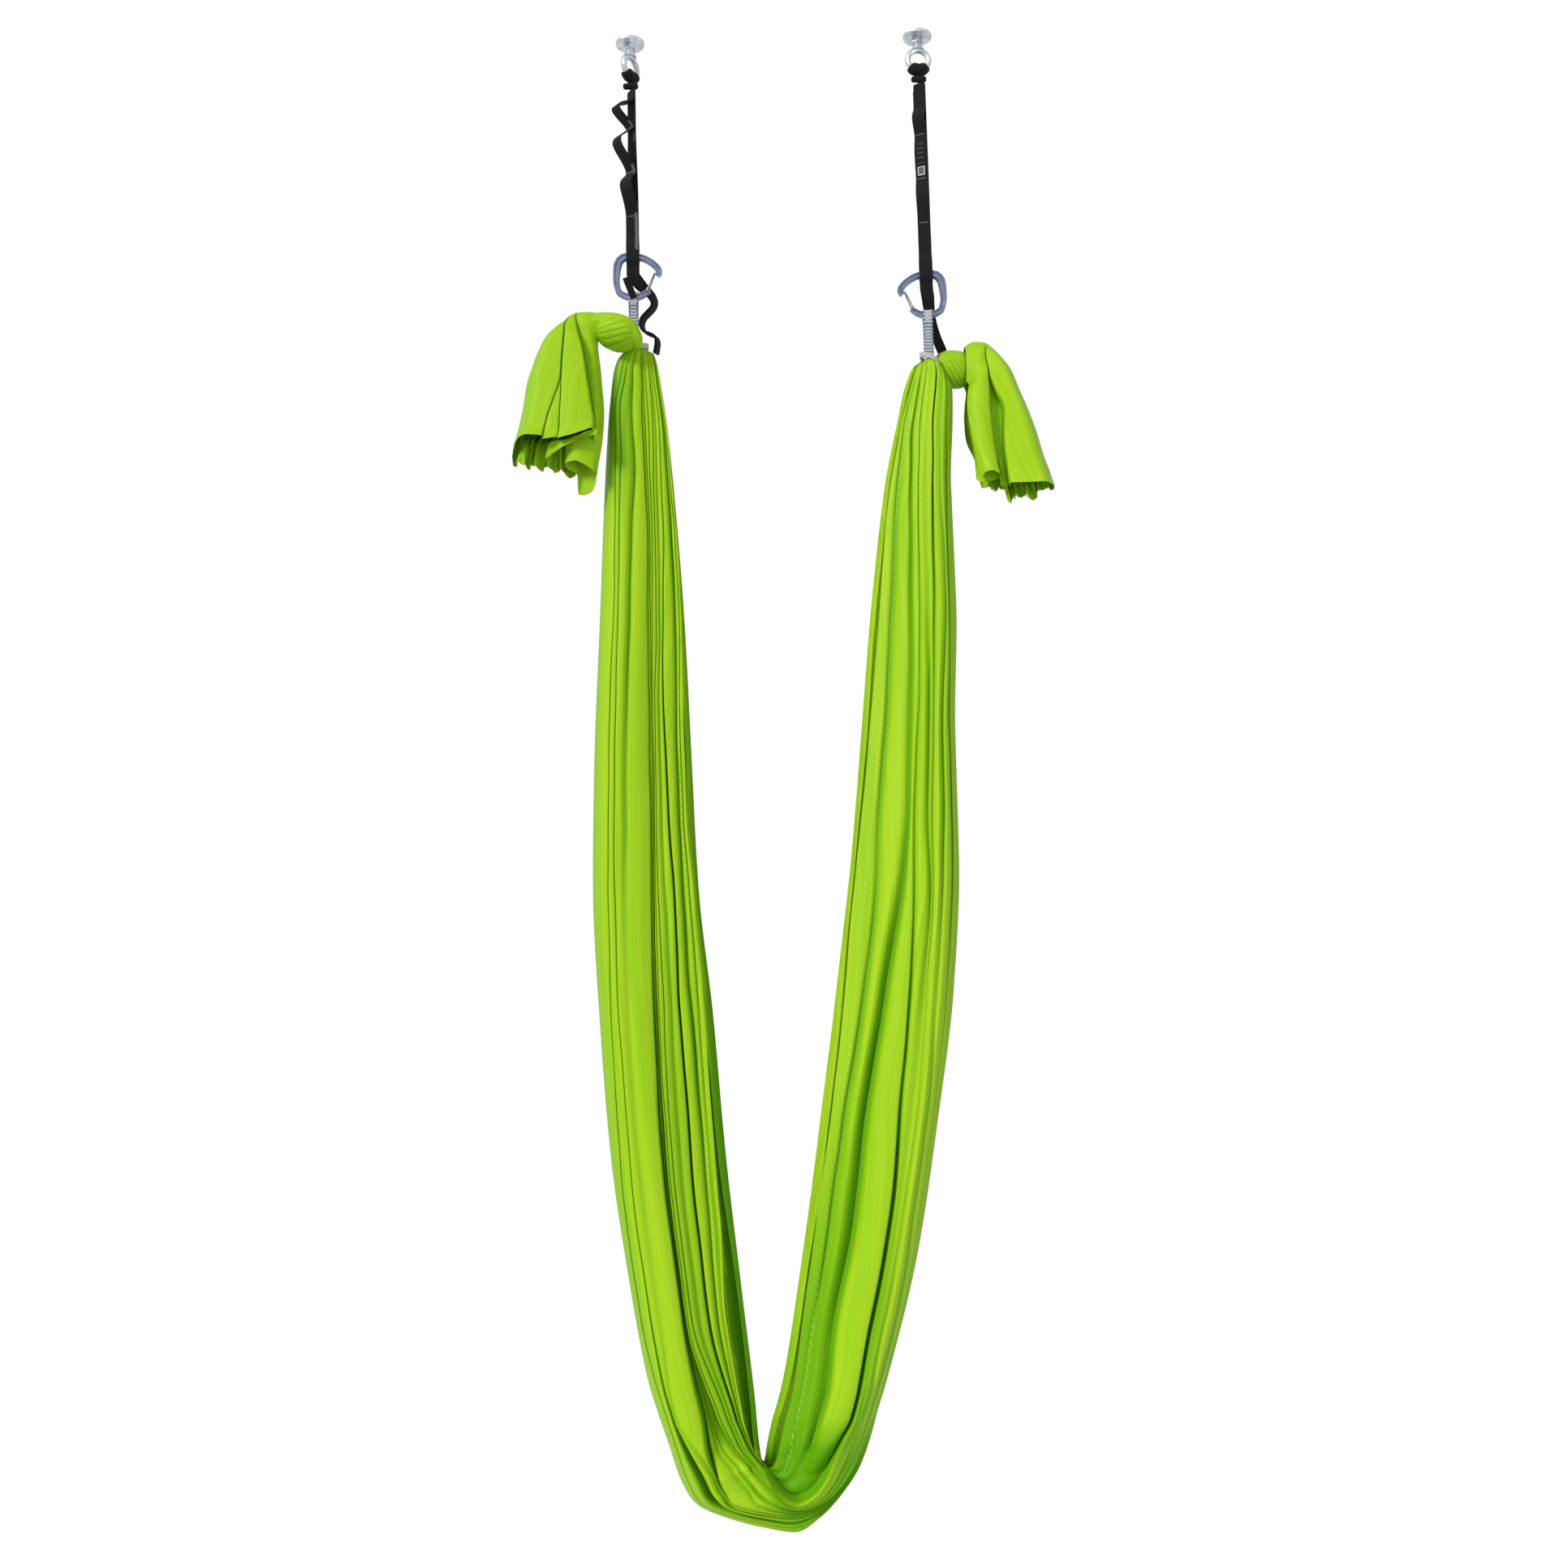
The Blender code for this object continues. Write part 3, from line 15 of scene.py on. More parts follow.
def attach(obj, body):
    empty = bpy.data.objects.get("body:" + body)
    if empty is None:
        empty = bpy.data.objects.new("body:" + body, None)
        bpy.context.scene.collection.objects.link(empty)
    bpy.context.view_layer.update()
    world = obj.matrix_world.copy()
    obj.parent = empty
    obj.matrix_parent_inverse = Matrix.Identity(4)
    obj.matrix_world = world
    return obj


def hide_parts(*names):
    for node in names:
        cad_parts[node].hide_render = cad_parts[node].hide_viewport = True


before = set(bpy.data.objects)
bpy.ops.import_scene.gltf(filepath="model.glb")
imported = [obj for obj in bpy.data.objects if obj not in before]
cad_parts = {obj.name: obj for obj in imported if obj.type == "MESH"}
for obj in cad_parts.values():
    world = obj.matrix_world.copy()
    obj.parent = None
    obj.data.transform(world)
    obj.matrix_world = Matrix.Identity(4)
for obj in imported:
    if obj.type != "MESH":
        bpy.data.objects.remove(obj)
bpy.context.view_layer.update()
LOG = logging.getLogger("aerial_hammock")

Array = np.ndarray
Socket = bpy.types.NodeSocket
Piece = bpy.types.Object
Material = bpy.types.Material
Colour = tuple[float, float, float, float]
Pair = tuple[float, float]
Triple = tuple[float, float, float]
Table = tuple[tuple[float, ...], ...]

# Sizes shared with the CAD frame, in metres
HALF_SPACING = 0.240
TOUCH_GAP = 0.0003
EYE_BAR_LEVEL = -0.0601
SWING_LEVEL = -0.0766
SWAY_LEVEL = -0.0934
CROTCH_LEVEL = -2.272
SEAT_START_SHARE = 0.957
SEAT_END_SHARE = 0.961


class Face(Enum):
    """Which layer of a doubled cloth or strap a part lies in."""

    FRONT = -1
    BACK = 1


def srgb(red: int, green: int, blue: int) -> Colour:
    """Turn a display colour of 0 to 255 a channel into a linear colour.

    Args:
        red: Red channel.
        green: Green channel.
        blue: Blue channel.

    Returns:
        The linear colour with an alpha of 1.
    """
    channels = []
    for value in (red, green, blue):
        share = value / 255
        linear = share / 12.92 if share <= 0.04045 else ((share + 0.055) / 1.055) ** 2.4
        channels.append(linear)
    return channels[0], channels[1], channels[2], 1.0


def ease(share: Array) -> Array:
    """Ease from 0 to 1 along a share."""
    share = np.clip(share, 0.0, 1.0)
    return share * share * (3 - 2 * share)


def ease_value(share: float) -> float:
    """Ease one number from 0 to 1."""
    share = min(max(share, 0.0), 1.0)
    return share * share * (3 - 2 * share)


def smooth_columns(keys: Sequence[float], values: Sequence, places: Array) -> Array:
    """Read a table at places on monotone curves through its rows.

    Args:
        keys: Rising place of each row.
        values: One row of numbers for each key.
        places: Places to read.

    Returns:
        One row of numbers for each place.
    """
    keys = np.asarray(keys, dtype=float)
    values = np.asarray(values, dtype=float)
    if values.ndim == 1:
        values = values[:, None]
    steps = np.diff(keys)[:, None]
    slopes = np.diff(values, axis=0) / steps
    tangents = np.zeros_like(values)
    tangents[0], tangents[-1] = slopes[0], slopes[-1]
    before, after = slopes[:-1], slopes[1:]
    same_way = before * after > 0
    mean = np.where(same_way, 2 * before * after / np.where(same_way, before + after, 1.0), 0.0)
    tangents[1:-1] = mean
    places = np.clip(np.asarray(places, dtype=float), keys[0], keys[-1])
    index = np.clip(np.searchsorted(keys, places, side="right") - 1, 0, len(keys) - 2)
    span = steps[index]
    share = ((places - keys[index]) / span[:, 0])[:, None]
    square, cube = share ** 2, share ** 3
    return ((2 * cube - 3 * square + 1) * values[index] + (cube - 2 * square + share) * span
            * tangents[index] + (3 * square - 2 * cube) * values[index + 1]
            + (cube - square) * span * tangents[index + 1])


def smooth_path(points: Sequence[Vector], parts: int) -> list[Vector]:
    """Points on a smooth curve through the given points.

    Args:
        points: Points that the curve passes.
        parts: Number of parts in each span.

    Returns:
        The points of the curve.
    """
    path = []
    for index in range(len(points) - 1):
        before = points[max(index - 1, 0)]
        left, right = points[index], points[index + 1]
        after = points[min(index + 2, len(points) - 1)]
        for part in range(parts):
            share = part / parts
            path.append(0.5 * (2 * left + (right - before) * share
                               + (2 * before - 5 * left + 4 * right - after) * share ** 2
                               + (3 * left - before - 3 * right + after) * share ** 3))
    path.append(points[-1])
    return path


def path_tangents(path: Sequence[Vector]) -> list[Vector]:
    """Unit directions along a path."""
    last = len(path) - 1
    return [(path[min(index + 1, last)] - path[max(index - 1, 0)]).normalized()
            for index in range(len(path))]


def waves(places: Array, seed: int, pitch: float, count: int = 5) -> Array:
    """Slow repeatable wandering between -1 and 1 along places.

    Args:
        places: Places in metres.
        seed: Seed of this line.
        pitch: Longest wave in metres.
        count: Number of waves that are added.

    Returns:
        One value for each place.
    """
    random = np.random.default_rng(seed)
    total = np.zeros_like(places)
    for number in range(count):
        phase = random.uniform(0, 2 * math.pi)
        total += np.sin(2 * math.pi * places * (number + 1) / pitch + phase) / (number + 1)
    return total / 1.8


def grid_mesh(name: str, points: Array, uv: Array, attributes: dict[str, Array],
              closed: bool = False) -> Piece:
    """Make a smooth object from a grid of points.

    Args:
        name: Name of the piece.
        points: Places, as rows by columns by 3.
        uv: Pattern places in metres, as rows by columns by 2.
        attributes: Named values, as rows by columns.
        closed: Whether the last column joins the first.

    Returns:
        The new object.
    """
    rows, columns = points.shape[:2]
    index = np.arange(rows * columns).reshape(rows, columns)
    if closed:
        index = np.hstack([index, index[:, :1]])
    quads = np.stack([index[:-1, :-1], index[1:, :-1], index[1:, 1:], index[:-1, 1:]],
                     axis=-1).reshape(-1, 4)
    mesh = bpy.data.meshes.new(name)
    mesh.vertices.add(rows * columns)
    mesh.vertices.foreach_set("co", points.reshape(-1))
    mesh.loops.add(quads.size)
    mesh.loops.foreach_set("vertex_index", quads.reshape(-1).astype(np.int32))
    mesh.polygons.add(len(quads))
    mesh.polygons.foreach_set("loop_start", np.arange(0, quads.size, 4, dtype=np.int32))
    mesh.update(calc_edges=True)
    layer = mesh.uv_layers.new(name="cloth")
    layer.data.foreach_set("uv", uv.reshape(-1, 2)[quads.reshape(-1)].reshape(-1))
    for label, values in attributes.items():
        data = mesh.attributes.new(label, "FLOAT", "POINT")
        data.data.foreach_set("value", values.reshape(-1).astype(float))
    mesh.shade_smooth()
    mesh.validate()
    piece = bpy.data.objects.new(name, mesh)
    bpy.context.scene.collection.objects.link(piece)
    return piece


class Nodes:
    """Adds nodes and links to one material or to the world."""

    def __init__(self, name: str, world: bool = False) -> None:
        """Start a material that has only its shader, or a world."""
        self.owner = (bpy.data.worlds if world else bpy.data.materials).new(name)
        self.owner.use_nodes = True
        self.tree = self.owner.node_tree
        self.shader = self.tree.nodes.get("Principled BSDF")

    def add(self, kind: str, inputs: Optional[dict] = None, **settings: object) -> bpy.types.Node:
        """Add one node.

        Args:
            kind: Blender's node type.
            inputs: Value or socket for each input, by name or number.
            settings: Properties of the node.

        Returns:
            The new node.
        """
        node = self.tree.nodes.new(kind)
        for key, value in settings.items():
            setattr(node, key, value)
        for key, value in (inputs or {}).items():
            self.feed(node.inputs[key], value)
        return node

    def feed(self, socket: Socket, value: object) -> None:
        """Link a socket to another one, or give it a plain value."""
        if isinstance(value, Socket):
            self.tree.links.new(value, socket)
        else:
            socket.default_value = value

    def math(self, operation: str, *values: object) -> Socket:
        """Add one Math node and return its output."""
        return self.add("ShaderNodeMath", dict(enumerate(values)), operation=operation).outputs[0]

    def times(self, first: object, second: object) -> Socket:
        """Product of two values."""
        return self.math("MULTIPLY", first, second)

    def plus(self, first: object, second: object) -> Socket:
        """Sum of two values."""
        return self.math("ADD", first, second)

    def wave(self, value: Socket, pitch: float) -> Socket:
        """Sine of a value that repeats at a pitch."""
        return self.math("SINE", self.times(value, 2 * math.pi / pitch))

    def ramp(self, value: Socket, low: float, high: float, start: float = 0.0,
             end: float = 1.0) -> Socket:
        """Map a value between two ends smoothly, clamped.

        Args:
            value: Socket to read.
            low: Value that gives the start.
            high: Value that gives the end.
            start: Result at the low value.
            end: Result at the high value.

        Returns:
            The mapped socket.
        """
        inputs = {"Value": value, "From Min": low, "From Max": high, "To Min": start,
                  "To Max": end}
        node = self.add("ShaderNodeMapRange", inputs, interpolation_type="SMOOTHSTEP")
        return node.outputs["Result"]

    def mix(self, share: object, low: object, high: object) -> Socket:
        """Mix two colours and return the colour."""
        node = self.add("ShaderNodeMix", data_type="RGBA")
        for key, value in (("Factor_Float", share), ("A_Color", low), ("B_Color", high)):
            self.feed(next(item for item in node.inputs if item.identifier == key), value)
        return next(item for item in node.outputs if item.identifier == "Result_Color")

    def noise(self, vector: Socket, scale: float, detail: float = 3.0,
              roughness: float = 0.5) -> Socket:
        """Add a noise pattern and return its value."""
        inputs = {"Vector": vector, "Scale": scale, "Detail": detail, "Roughness": roughness}
        return self.add("ShaderNodeTexNoise", inputs).outputs["Fac"]

    def scaled(self, vector: Socket, scale: Triple) -> Socket:
        """Scale a pattern's place along its axes."""
        return self.add("ShaderNodeMapping", {"Vector": vector, "Scale": scale}).outputs["Vector"]

    def grain(self, across: float, along: float, detail: float = 3.0,
              roughness: float = 0.5) -> Socket:
        """Noise with its own scales across and along the cloth."""
        return self.noise(self.scaled(self.cloth(), (across, along, 1)), 1.0, detail, roughness)

    def place(self) -> Socket:
        """Object coordinates of a piece."""
        return self.add("ShaderNodeTexCoord").outputs["Object"]

    def cloth(self) -> Socket:
        """Pattern place along the cloth, in metres."""
        node = self.tree.nodes.get("cloth")
        if node is None:
            node = self.add("ShaderNodeUVMap", name="cloth", uv_map="cloth")
        return node.outputs["UV"]

    def across_along(self) -> Sequence[Socket]:
        """Place across and place along the cloth, in metres."""
        return self.add("ShaderNodeSeparateXYZ", {"Vector": self.cloth()}).outputs[:2]

    def attribute(self, name: str) -> Socket:
        """Value that a piece carries on its points."""
        return self.add("ShaderNodeAttribute", attribute_name=name).outputs["Fac"]

    def bump(self, height: Socket, distance: float, strength: float,
             below: Optional[Socket] = None) -> Socket:
        """Add a bump pattern and return its normal."""
        inputs = {"Height": height, "Distance": distance, "Strength": strength}
        if below is not None:
            inputs["Normal"] = below
        return self.add("ShaderNodeBump", inputs).outputs["Normal"]

    def seen(self) -> Socket:
        """1 where the camera looks: straight, in a reflection or through glass."""
        rays = self.add("ShaderNodeLightPath").outputs
        other = self.math("MAXIMUM", rays["Is Glossy Ray"], rays["Is Transmission Ray"])
        return self.math("MAXIMUM", rays["Is Camera Ray"], other)

    def finish(self, colour: Socket, rough: Optional[Socket] = None,
               normal: Optional[Socket] = None, **values: object) -> Material:
        """Feed the shader and return the material.

        Args:
            colour: Its base colour.
            rough: Its roughness, where that has a pattern.
            normal: Its bumped normal.
            values: Plain value for each other input, with _ for a space.

        Returns:
            The finished material.
        """
        links = {"Base Color": colour, "Roughness": rough, "Normal": normal}
        for key, value in (*links.items(), *values.items()):
            if value is not None:
                self.feed(self.shader.inputs[key.replace("_", " ")], value)
        return self.owner


@dataclass(frozen=True)
class SilkFinish:
    """Stretch silk with long tension lines, a fine knit, stitched selvedges and painted shade in
    its folds and at its rims.
    """

    name: str = "green_silk"
    light: Colour = srgb(170, 210, 32)
    dim: Colour = srgb(146, 196, 18)
    # Painted shade colour for folds and grazing rims; the knit's darker grain uses it too
    fold: Colour = srgb(90, 162, 0)
    thread: Colour = srgb(190, 228, 96)
    sheen: Colour = srgb(190, 240, 60)
    streak_across: float = 210.0
    streak_along: float = 1.6
    knit_scale: float = 900.0
    stitch_inset: float = 0.017
    stitch_pitch: float = 0.0125

    def build(self) -> Material:
        """Make the material."""
        nodes = Nodes(self.name)
        streaks = nodes.grain(self.streak_across, self.streak_along, 4.0, 0.6)
        broad = nodes.grain(22.0, 1.1)
        knit = nodes.grain(self.knit_scale, self.knit_scale, 2.0)
        # Painted shade carried on the points, deeper in folds and hollows
        crease_shade = nodes.attribute("crease_shade")
        edge = nodes.attribute("edge")

        inset = nodes.math("ABSOLUTE", nodes.math("SUBTRACT", edge, self.stitch_inset))
        line = nodes.ramp(inset, 0.0008, 0.0030, 1.0, 0.0)
        turn = nodes.times(nodes.across_along()[1], 2 * math.pi / self.stitch_pitch)
        loop = nodes.math("SINE", nodes.plus(turn, nodes.times(edge, 900.0)))
        stitch = nodes.times(line, nodes.ramp(loop, 0.35, 0.9))

        tone = nodes.plus(nodes.times(streaks, 0.55), nodes.times(broad, 0.45))
        colour = nodes.mix(nodes.ramp(tone, 0.34, 0.66), self.dim, self.light)
        # Painted shade: the fold colour at grazing rims and in creases, plus a little of the
        # knit's darker grain
        rim_shade = nodes.add("ShaderNodeLayerWeight", {"Blend": 0.32}).outputs["Facing"]
        for share in (nodes.ramp(rim_shade, 0.1, 1.0, 0.0, 0.6), nodes.ramp(crease_shade, 0.02, 0.9, 0.0, 0.9),
                      nodes.times(knit, 0.10)):
            colour = nodes.mix(share, colour, self.fold)
        colour = nodes.mix(nodes.times(stitch, 0.55), colour, self.thread)
        normal = nodes.bump(nodes.plus(streaks, nodes.times(broad, 1.2)), 0.0016, 0.55)
        normal = nodes.bump(nodes.plus(knit, nodes.times(stitch, 2.0)), 0.0004, 0.35, normal)
        hem = nodes.ramp(edge, 0.0165, 0.0180, 1.0, 0.0)
        normal = nodes.bump(hem, 0.0006, 0.5, normal)
        rough = nodes.ramp(streaks, 0.3, 0.7, 0.40, 0.54)
        return nodes.finish(colour, rough, normal, Specular_IOR_Level=0.14, Sheen_Weight=0.06,
                            Sheen_Roughness=0.4, Sheen_Tint=self.sheen)


@dataclass(frozen=True)
class WebbingFinish:
    """Narrow woven nylon with a herringbone ground and firm selvedges."""

    name: str
    base: Colour
    worn: Colour
    rib_pitch: float = 0.0016
    roughness: float = 0.72
    stripe: Optional[Colour] = None
    stripe_place: float = 0.0062
    stripe_width: float = 0.0009
    stripe_dash: float = 0.0030
    slant_width: float = 0.0021
    warp_pitch: float = 0.0014

    def build(self) -> Material:
        """Make the material."""
        nodes = Nodes(self.name)
        across, along = nodes.across_along()
        slant = nodes.math("PINGPONG", across, self.slant_width)
        rib = nodes.ramp(nodes.wave(nodes.plus(along, slant), self.rib_pitch), -0.7, 0.9)
        warp = nodes.ramp(nodes.wave(across, self.warp_pitch), -0.8, 0.8)
        wear = nodes.grain(120.0, 26.0, 4.0, 0.6)
        fuzz = nodes.grain(1500.0, 1500.0, 2.0)
        weave = nodes.plus(nodes.times(rib, 0.7), nodes.times(warp, 0.3))
        light = nodes.times(weave, nodes.ramp(wear, 0.35, 0.75, 0.35, 1.0))
        colour = nodes.mix(light, self.base, self.worn)
        colour = nodes.mix(nodes.times(fuzz, 0.2), colour, self.worn)
        if self.stripe is not None:
            offset = nodes.math("SUBTRACT", nodes.math("ABSOLUTE", across), self.stripe_place)
            line = nodes.ramp(nodes.math("ABSOLUTE", offset), self.stripe_width * 0.6,
                              self.stripe_width, 1.0, 0.0)
            dash = nodes.ramp(nodes.wave(along, self.stripe_dash), -0.3, 0.3)
            colour = nodes.mix(nodes.times(line, dash), colour, self.stripe)
        normal = nodes.bump(fuzz, 0.0003, 0.3, nodes.bump(weave, 0.0005, 0.6))
        rough = nodes.ramp(wear, 0.3, 0.7, self.roughness - 0.08, self.roughness + 0.08)
        return nodes.finish(colour, rough, normal, Specular_IOR_Level=0.12, Sheen_Weight=0.04,
                            Sheen_Roughness=0.5)


@dataclass(frozen=True)
class ThreadFinish:
    """Close rows of sewing thread."""

    name: str
    thread: Colour
    gap: Colour
    pitch: float = 0.0011

    def build(self) -> Material:
        """Make the material."""
        nodes = Nodes(self.name)
        across, along = nodes.across_along()
        row = nodes.ramp(nodes.wave(nodes.plus(across, nodes.times(along, 0.25)), self.pitch),
                         -0.6, 0.7)
        wear = nodes.grain(700.0, 260.0)
        colour = nodes.mix(row, self.gap, self.thread)
        colour = nodes.mix(nodes.times(wear, 0.35), colour, self.gap)
        rough = nodes.ramp(wear, 0.3, 0.7, 0.5, 0.66)
        return nodes.finish(colour, rough, nodes.bump(row, 0.0004, 0.6), Specular_IOR_Level=0.4,
                            Sheen_Weight=0.1)


@dataclass(frozen=True)
class MetalFinish:
    """Plated, anodised or drawn metal with faint grain, cloudiness and worn places."""

    name: str
    base: Colour
    cloud: Colour
    metallic: float
    rough_low: float
    rough_high: float
    grain: Triple
    grain_depth: float = 0.00008

    def build(self) -> Material:
        """Make the material."""
        nodes = Nodes(self.name)
        place = nodes.place()
        cloud = nodes.noise(place, 60.0, 4.0, 0.6)
        grain = nodes.noise(nodes.scaled(place, self.grain), 1.0, 3.0, 0.6)
        spots = nodes.ramp(nodes.noise(place, 420.0, 2.0), 0.62, 0.72)
        mottle = nodes.plus(nodes.times(cloud, 0.6), nodes.times(grain, 0.4))
        colour = nodes.mix(nodes.ramp(mottle, 0.38, 0.62), self.base, self.cloud)
        colour = nodes.mix(nodes.times(spots, 0.2), colour, self.cloud)
        rough = nodes.ramp(mottle, 0.35, 0.65, self.rough_low, self.rough_high)
        return nodes.finish(colour, rough, nodes.bump(grain, self.grain_depth, 0.4),
                            Metallic=self.metallic)


@dataclass(frozen=True)
class TagFinish:
    """Bare woven tag with a pale turned edge."""

    name: str
    ground: Colour
    border: Colour
    half_size: Pair
    border_width: float = 0.0012
    specular: float = 0.35
    border_blur: float = 0.0003

    def build(self) -> Material:
        """Make the material."""
        nodes = Nodes(self.name)
        near = []
        for spot, half in zip(nodes.across_along(), self.half_size):
            limit = half - self.border_width
            near.append(nodes.ramp(nodes.math("ABSOLUTE", spot), limit - self.border_blur, limit))
        weave = nodes.add("ShaderNodeTexChecker", {"Vector": nodes.cloth(), "Scale": 1400.0})
        slub = nodes.grain(300.0, 900.0)
        colour = nodes.mix(nodes.times(slub, 0.25), self.ground, self.border)
        colour = nodes.mix(nodes.math("MAXIMUM", *near), colour, self.border)
        return nodes.finish(colour, nodes.ramp(slub, 0.3, 0.7, 0.55, 0.7),
                            nodes.bump(weave.outputs["Fac"], 0.0002, 0.35),
                            Specular_IOR_Level=self.specular)


@dataclass(frozen=True)
class FloorFinish:
    """Pale studio floor that looks white to the camera and keeps the object's shadow."""

    paint: Colour = srgb(236, 236, 236)
    dust: Colour = srgb(225, 225, 225)
    glow: float = 0.62

    def build(self) -> Material:
        """Make the material."""
        nodes = Nodes("studio_floor")
        share = nodes.times(nodes.noise(nodes.place(), 35.0), 0.04)
        nodes.finish(nodes.mix(share, self.paint, self.dust), Roughness=0.9,
                     Specular_IOR_Level=0.1)
        paint = nodes.shader.outputs[0]
        light = nodes.add("ShaderNodeEmission", {"Color": (1, 1, 1, 1), "Strength": self.glow})
        both = nodes.add("ShaderNodeAddShader", {0: paint, 1: light.outputs[0]})
        switch = nodes.add("ShaderNodeMixShader", {0: nodes.seen(), 1: paint, 2: both.outputs[0]})
        nodes.feed(nodes.tree.nodes["Material Output"].inputs["Surface"], switch.outputs[0])
        return nodes.owner


@dataclass
class Studio:
    """Camera, soft lights, white surroundings and floor."""

    camera_place: Triple = (-0.013, -2.45, -1.554)
    pitch: float = math.radians(7)
    roll: float = math.radians(1.4)
    focal_length: float = 36.0
    key_direction: Triple = (-0.62, -0.66, 0.50)
    key_strength: float = 2.3
    key_angle: float = math.radians(16)
    fill_power: float = 26.0
    fill_size: Pair = (1.6, 2.4)
    fill_place: Triple = (2.4, -2.6, -1.0)
    fill_target: Triple = (0, 0, -1.2)
    ambient: float = 0.42
    floor_level: float = -3.0
    floor_radius: float = 3.2

    def build(self) -> None:
        """Set up everything that isn't part of the object."""
        self.add_camera()
        self.add_lights()
        self.add_surroundings()
        self.add_floor()
        bpy.context.scene.view_settings.view_transform = "Standard"

    def add_camera(self) -> None:
        """Add the camera at the photograph's viewpoint."""
        data = bpy.data.cameras.new("photo_camera")
        data.sensor_width = 36.0
        data.sensor_fit = "HORIZONTAL"
        data.lens = self.focal_length
        data.clip_end = 50.0
        camera = bpy.data.objects.new("photo_camera", data)
        bpy.context.scene.collection.objects.link(camera)
        turn = (Matrix.Rotation(math.pi / 2 + self.pitch, 4, "X")
                @ Matrix.Rotation(-self.roll, 4, "Z"))
        camera.matrix_world = Matrix.Translation(self.camera_place) @ turn
        bpy.context.scene.camera = camera

    def add_lights(self) -> None:
        """Add the large key light from the upper left and a weak fill from the right."""
        key = bpy.data.lights.new("key_light", "SUN")
        key.energy = self.key_strength
        key.angle = self.key_angle
        self.aim(key, Vector(self.key_direction) * 4.0, Vector((0, 0, 0)))
        fill = bpy.data.lights.new("fill_light", "AREA")
        fill.energy = self.fill_power
        fill.shape = "RECTANGLE"
        fill.size, fill.size_y = self.fill_size
        self.aim(fill, Vector(self.fill_place), Vector(self.fill_target))

    @staticmethod
    def aim(data: bpy.types.Light, place: Vector, target: Vector) -> None:
        """Put a light at a place and point it at a target."""
        light = bpy.data.objects.new(data.name, data)
        bpy.context.scene.collection.objects.link(light)
        light.rotation_euler = (target - place).to_track_quat("-Z", "Y").to_euler()
        light.location = place

    def add_surroundings(self) -> None:
        """Light the scene evenly and show white behind the object."""
        nodes = Nodes("studio_world", world=True)
        nodes.tree.nodes.clear()
        soft, white = [nodes.add("ShaderNodeBackground", {
            "Color": (1, 1, 1, 1), "Strength": power}).outputs[0] for power in (self.ambient, 1.0)]
        mix = nodes.add("ShaderNodeMixShader", {0: nodes.seen(), 1: soft, 2: white})
        nodes.add("ShaderNodeOutputWorld", {"Surface": mix.outputs[0]})
        bpy.context.scene.world = nodes.owner

    def add_floor(self) -> None:
        """Add the round floor under the hammock."""
        bpy.ops.object.select_all(action="DESELECT")
        bpy.ops.mesh.primitive_circle_add(vertices=96, radius=self.floor_radius, fill_type="NGON",
                                          location=(0, 0, self.floor_level))
        floor = bpy.context.object
        floor.name = "studio_floor"
        floor.data.materials.append(FloorFinish().build())


@dataclass(frozen=True)
class Dress:
    """How a finished piece joins the frame."""

    body: str
    slot: str
    material: Material

    def put(self, piece: Piece, *nodes: str) -> Piece:
        """Give a piece its material and body, and let it stand for CAD nodes.

        Args:
            piece: The finished piece.
            nodes: The CAD nodes that it stands for.

        Returns:
            The same piece.
        """
        piece.data.materials.clear()
        piece.data.materials.append(self.material)
        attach(piece, self.body)
        if nodes:
            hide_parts(*nodes)
        LOG.info("piece %s on %s, %d faces", piece.name, self.body, len(piece.data.polygons))
        return piece


@dataclass(frozen=True)
class SideSizes:
    """What differs between the left and the right half of the rig."""

    name: str
    sign: int
    eye_turn: float
    basket_drop: float
    twist_top: float
    first_tack: float
    bulge_shares: tuple[float, ...]
    end_length: float
    end_turn: float
    end_shares: Table
    neck_drop: float
    neck_offset: float
    band_tilt: float
    row_levels: tuple[float, ...] = ()
    # Top and foot level of each pale edge yarn, and the layer that it lies on
    edge_yarns: tuple[tuple[float, float, Face], ...] = ()

    def centre(self, level: float = 0.0) -> Vector:
        """Point under this side's anchor at a level."""
        return Vector((self.sign * HALF_SPACING, 0, level))

    def neck_centre(self) -> Vector:
        """Middle of the silk's neck."""
        return self.centre(-self.neck_drop) + Vector((self.neck_offset, 0, 0))


LEFT = SideSizes(
    "left", -1, math.radians(58), .4453, math.radians(48), -.152, (1.0, 1.0, .73),
    .128, math.radians(69),
    ((0, 0, -.047), (.008, .008, -.109), (.094, .062, -.211),
     (.227, .141, -.328), (.242, .203, -.437), (.094, .250, -.594),
     (.109, .297, -.719), (.266, .344, -.812), (.250, .375, -1.000)),
    .534, .008, .0040,
    edge_yarns=((-.1440, -.1545, Face.FRONT), (-.1600, -.1760, Face.BACK),
                (-.2195, -.2345, Face.FRONT), (-.2830, -.2990, Face.BACK),
                (-.3010, -.3660, Face.FRONT)))
RIGHT = SideSizes(
    "right", 1, math.radians(6), .4880, math.radians(-24), -.1755, (.33, .13, .30),
    .100, 0.0,
    ((0, 0, -.060), (.020, .030, -.180), (.040, .112, -.330),
     (.060, .118, -.460), (.090, .140, -.620), (.160, .240, -.800),
     (.260, .340, -1.000)),
    .563, .001, -.0060,
    row_levels=(-.193, -.2015, -.210, -.2185, -.227))
SIDES = (LEFT, RIGHT)


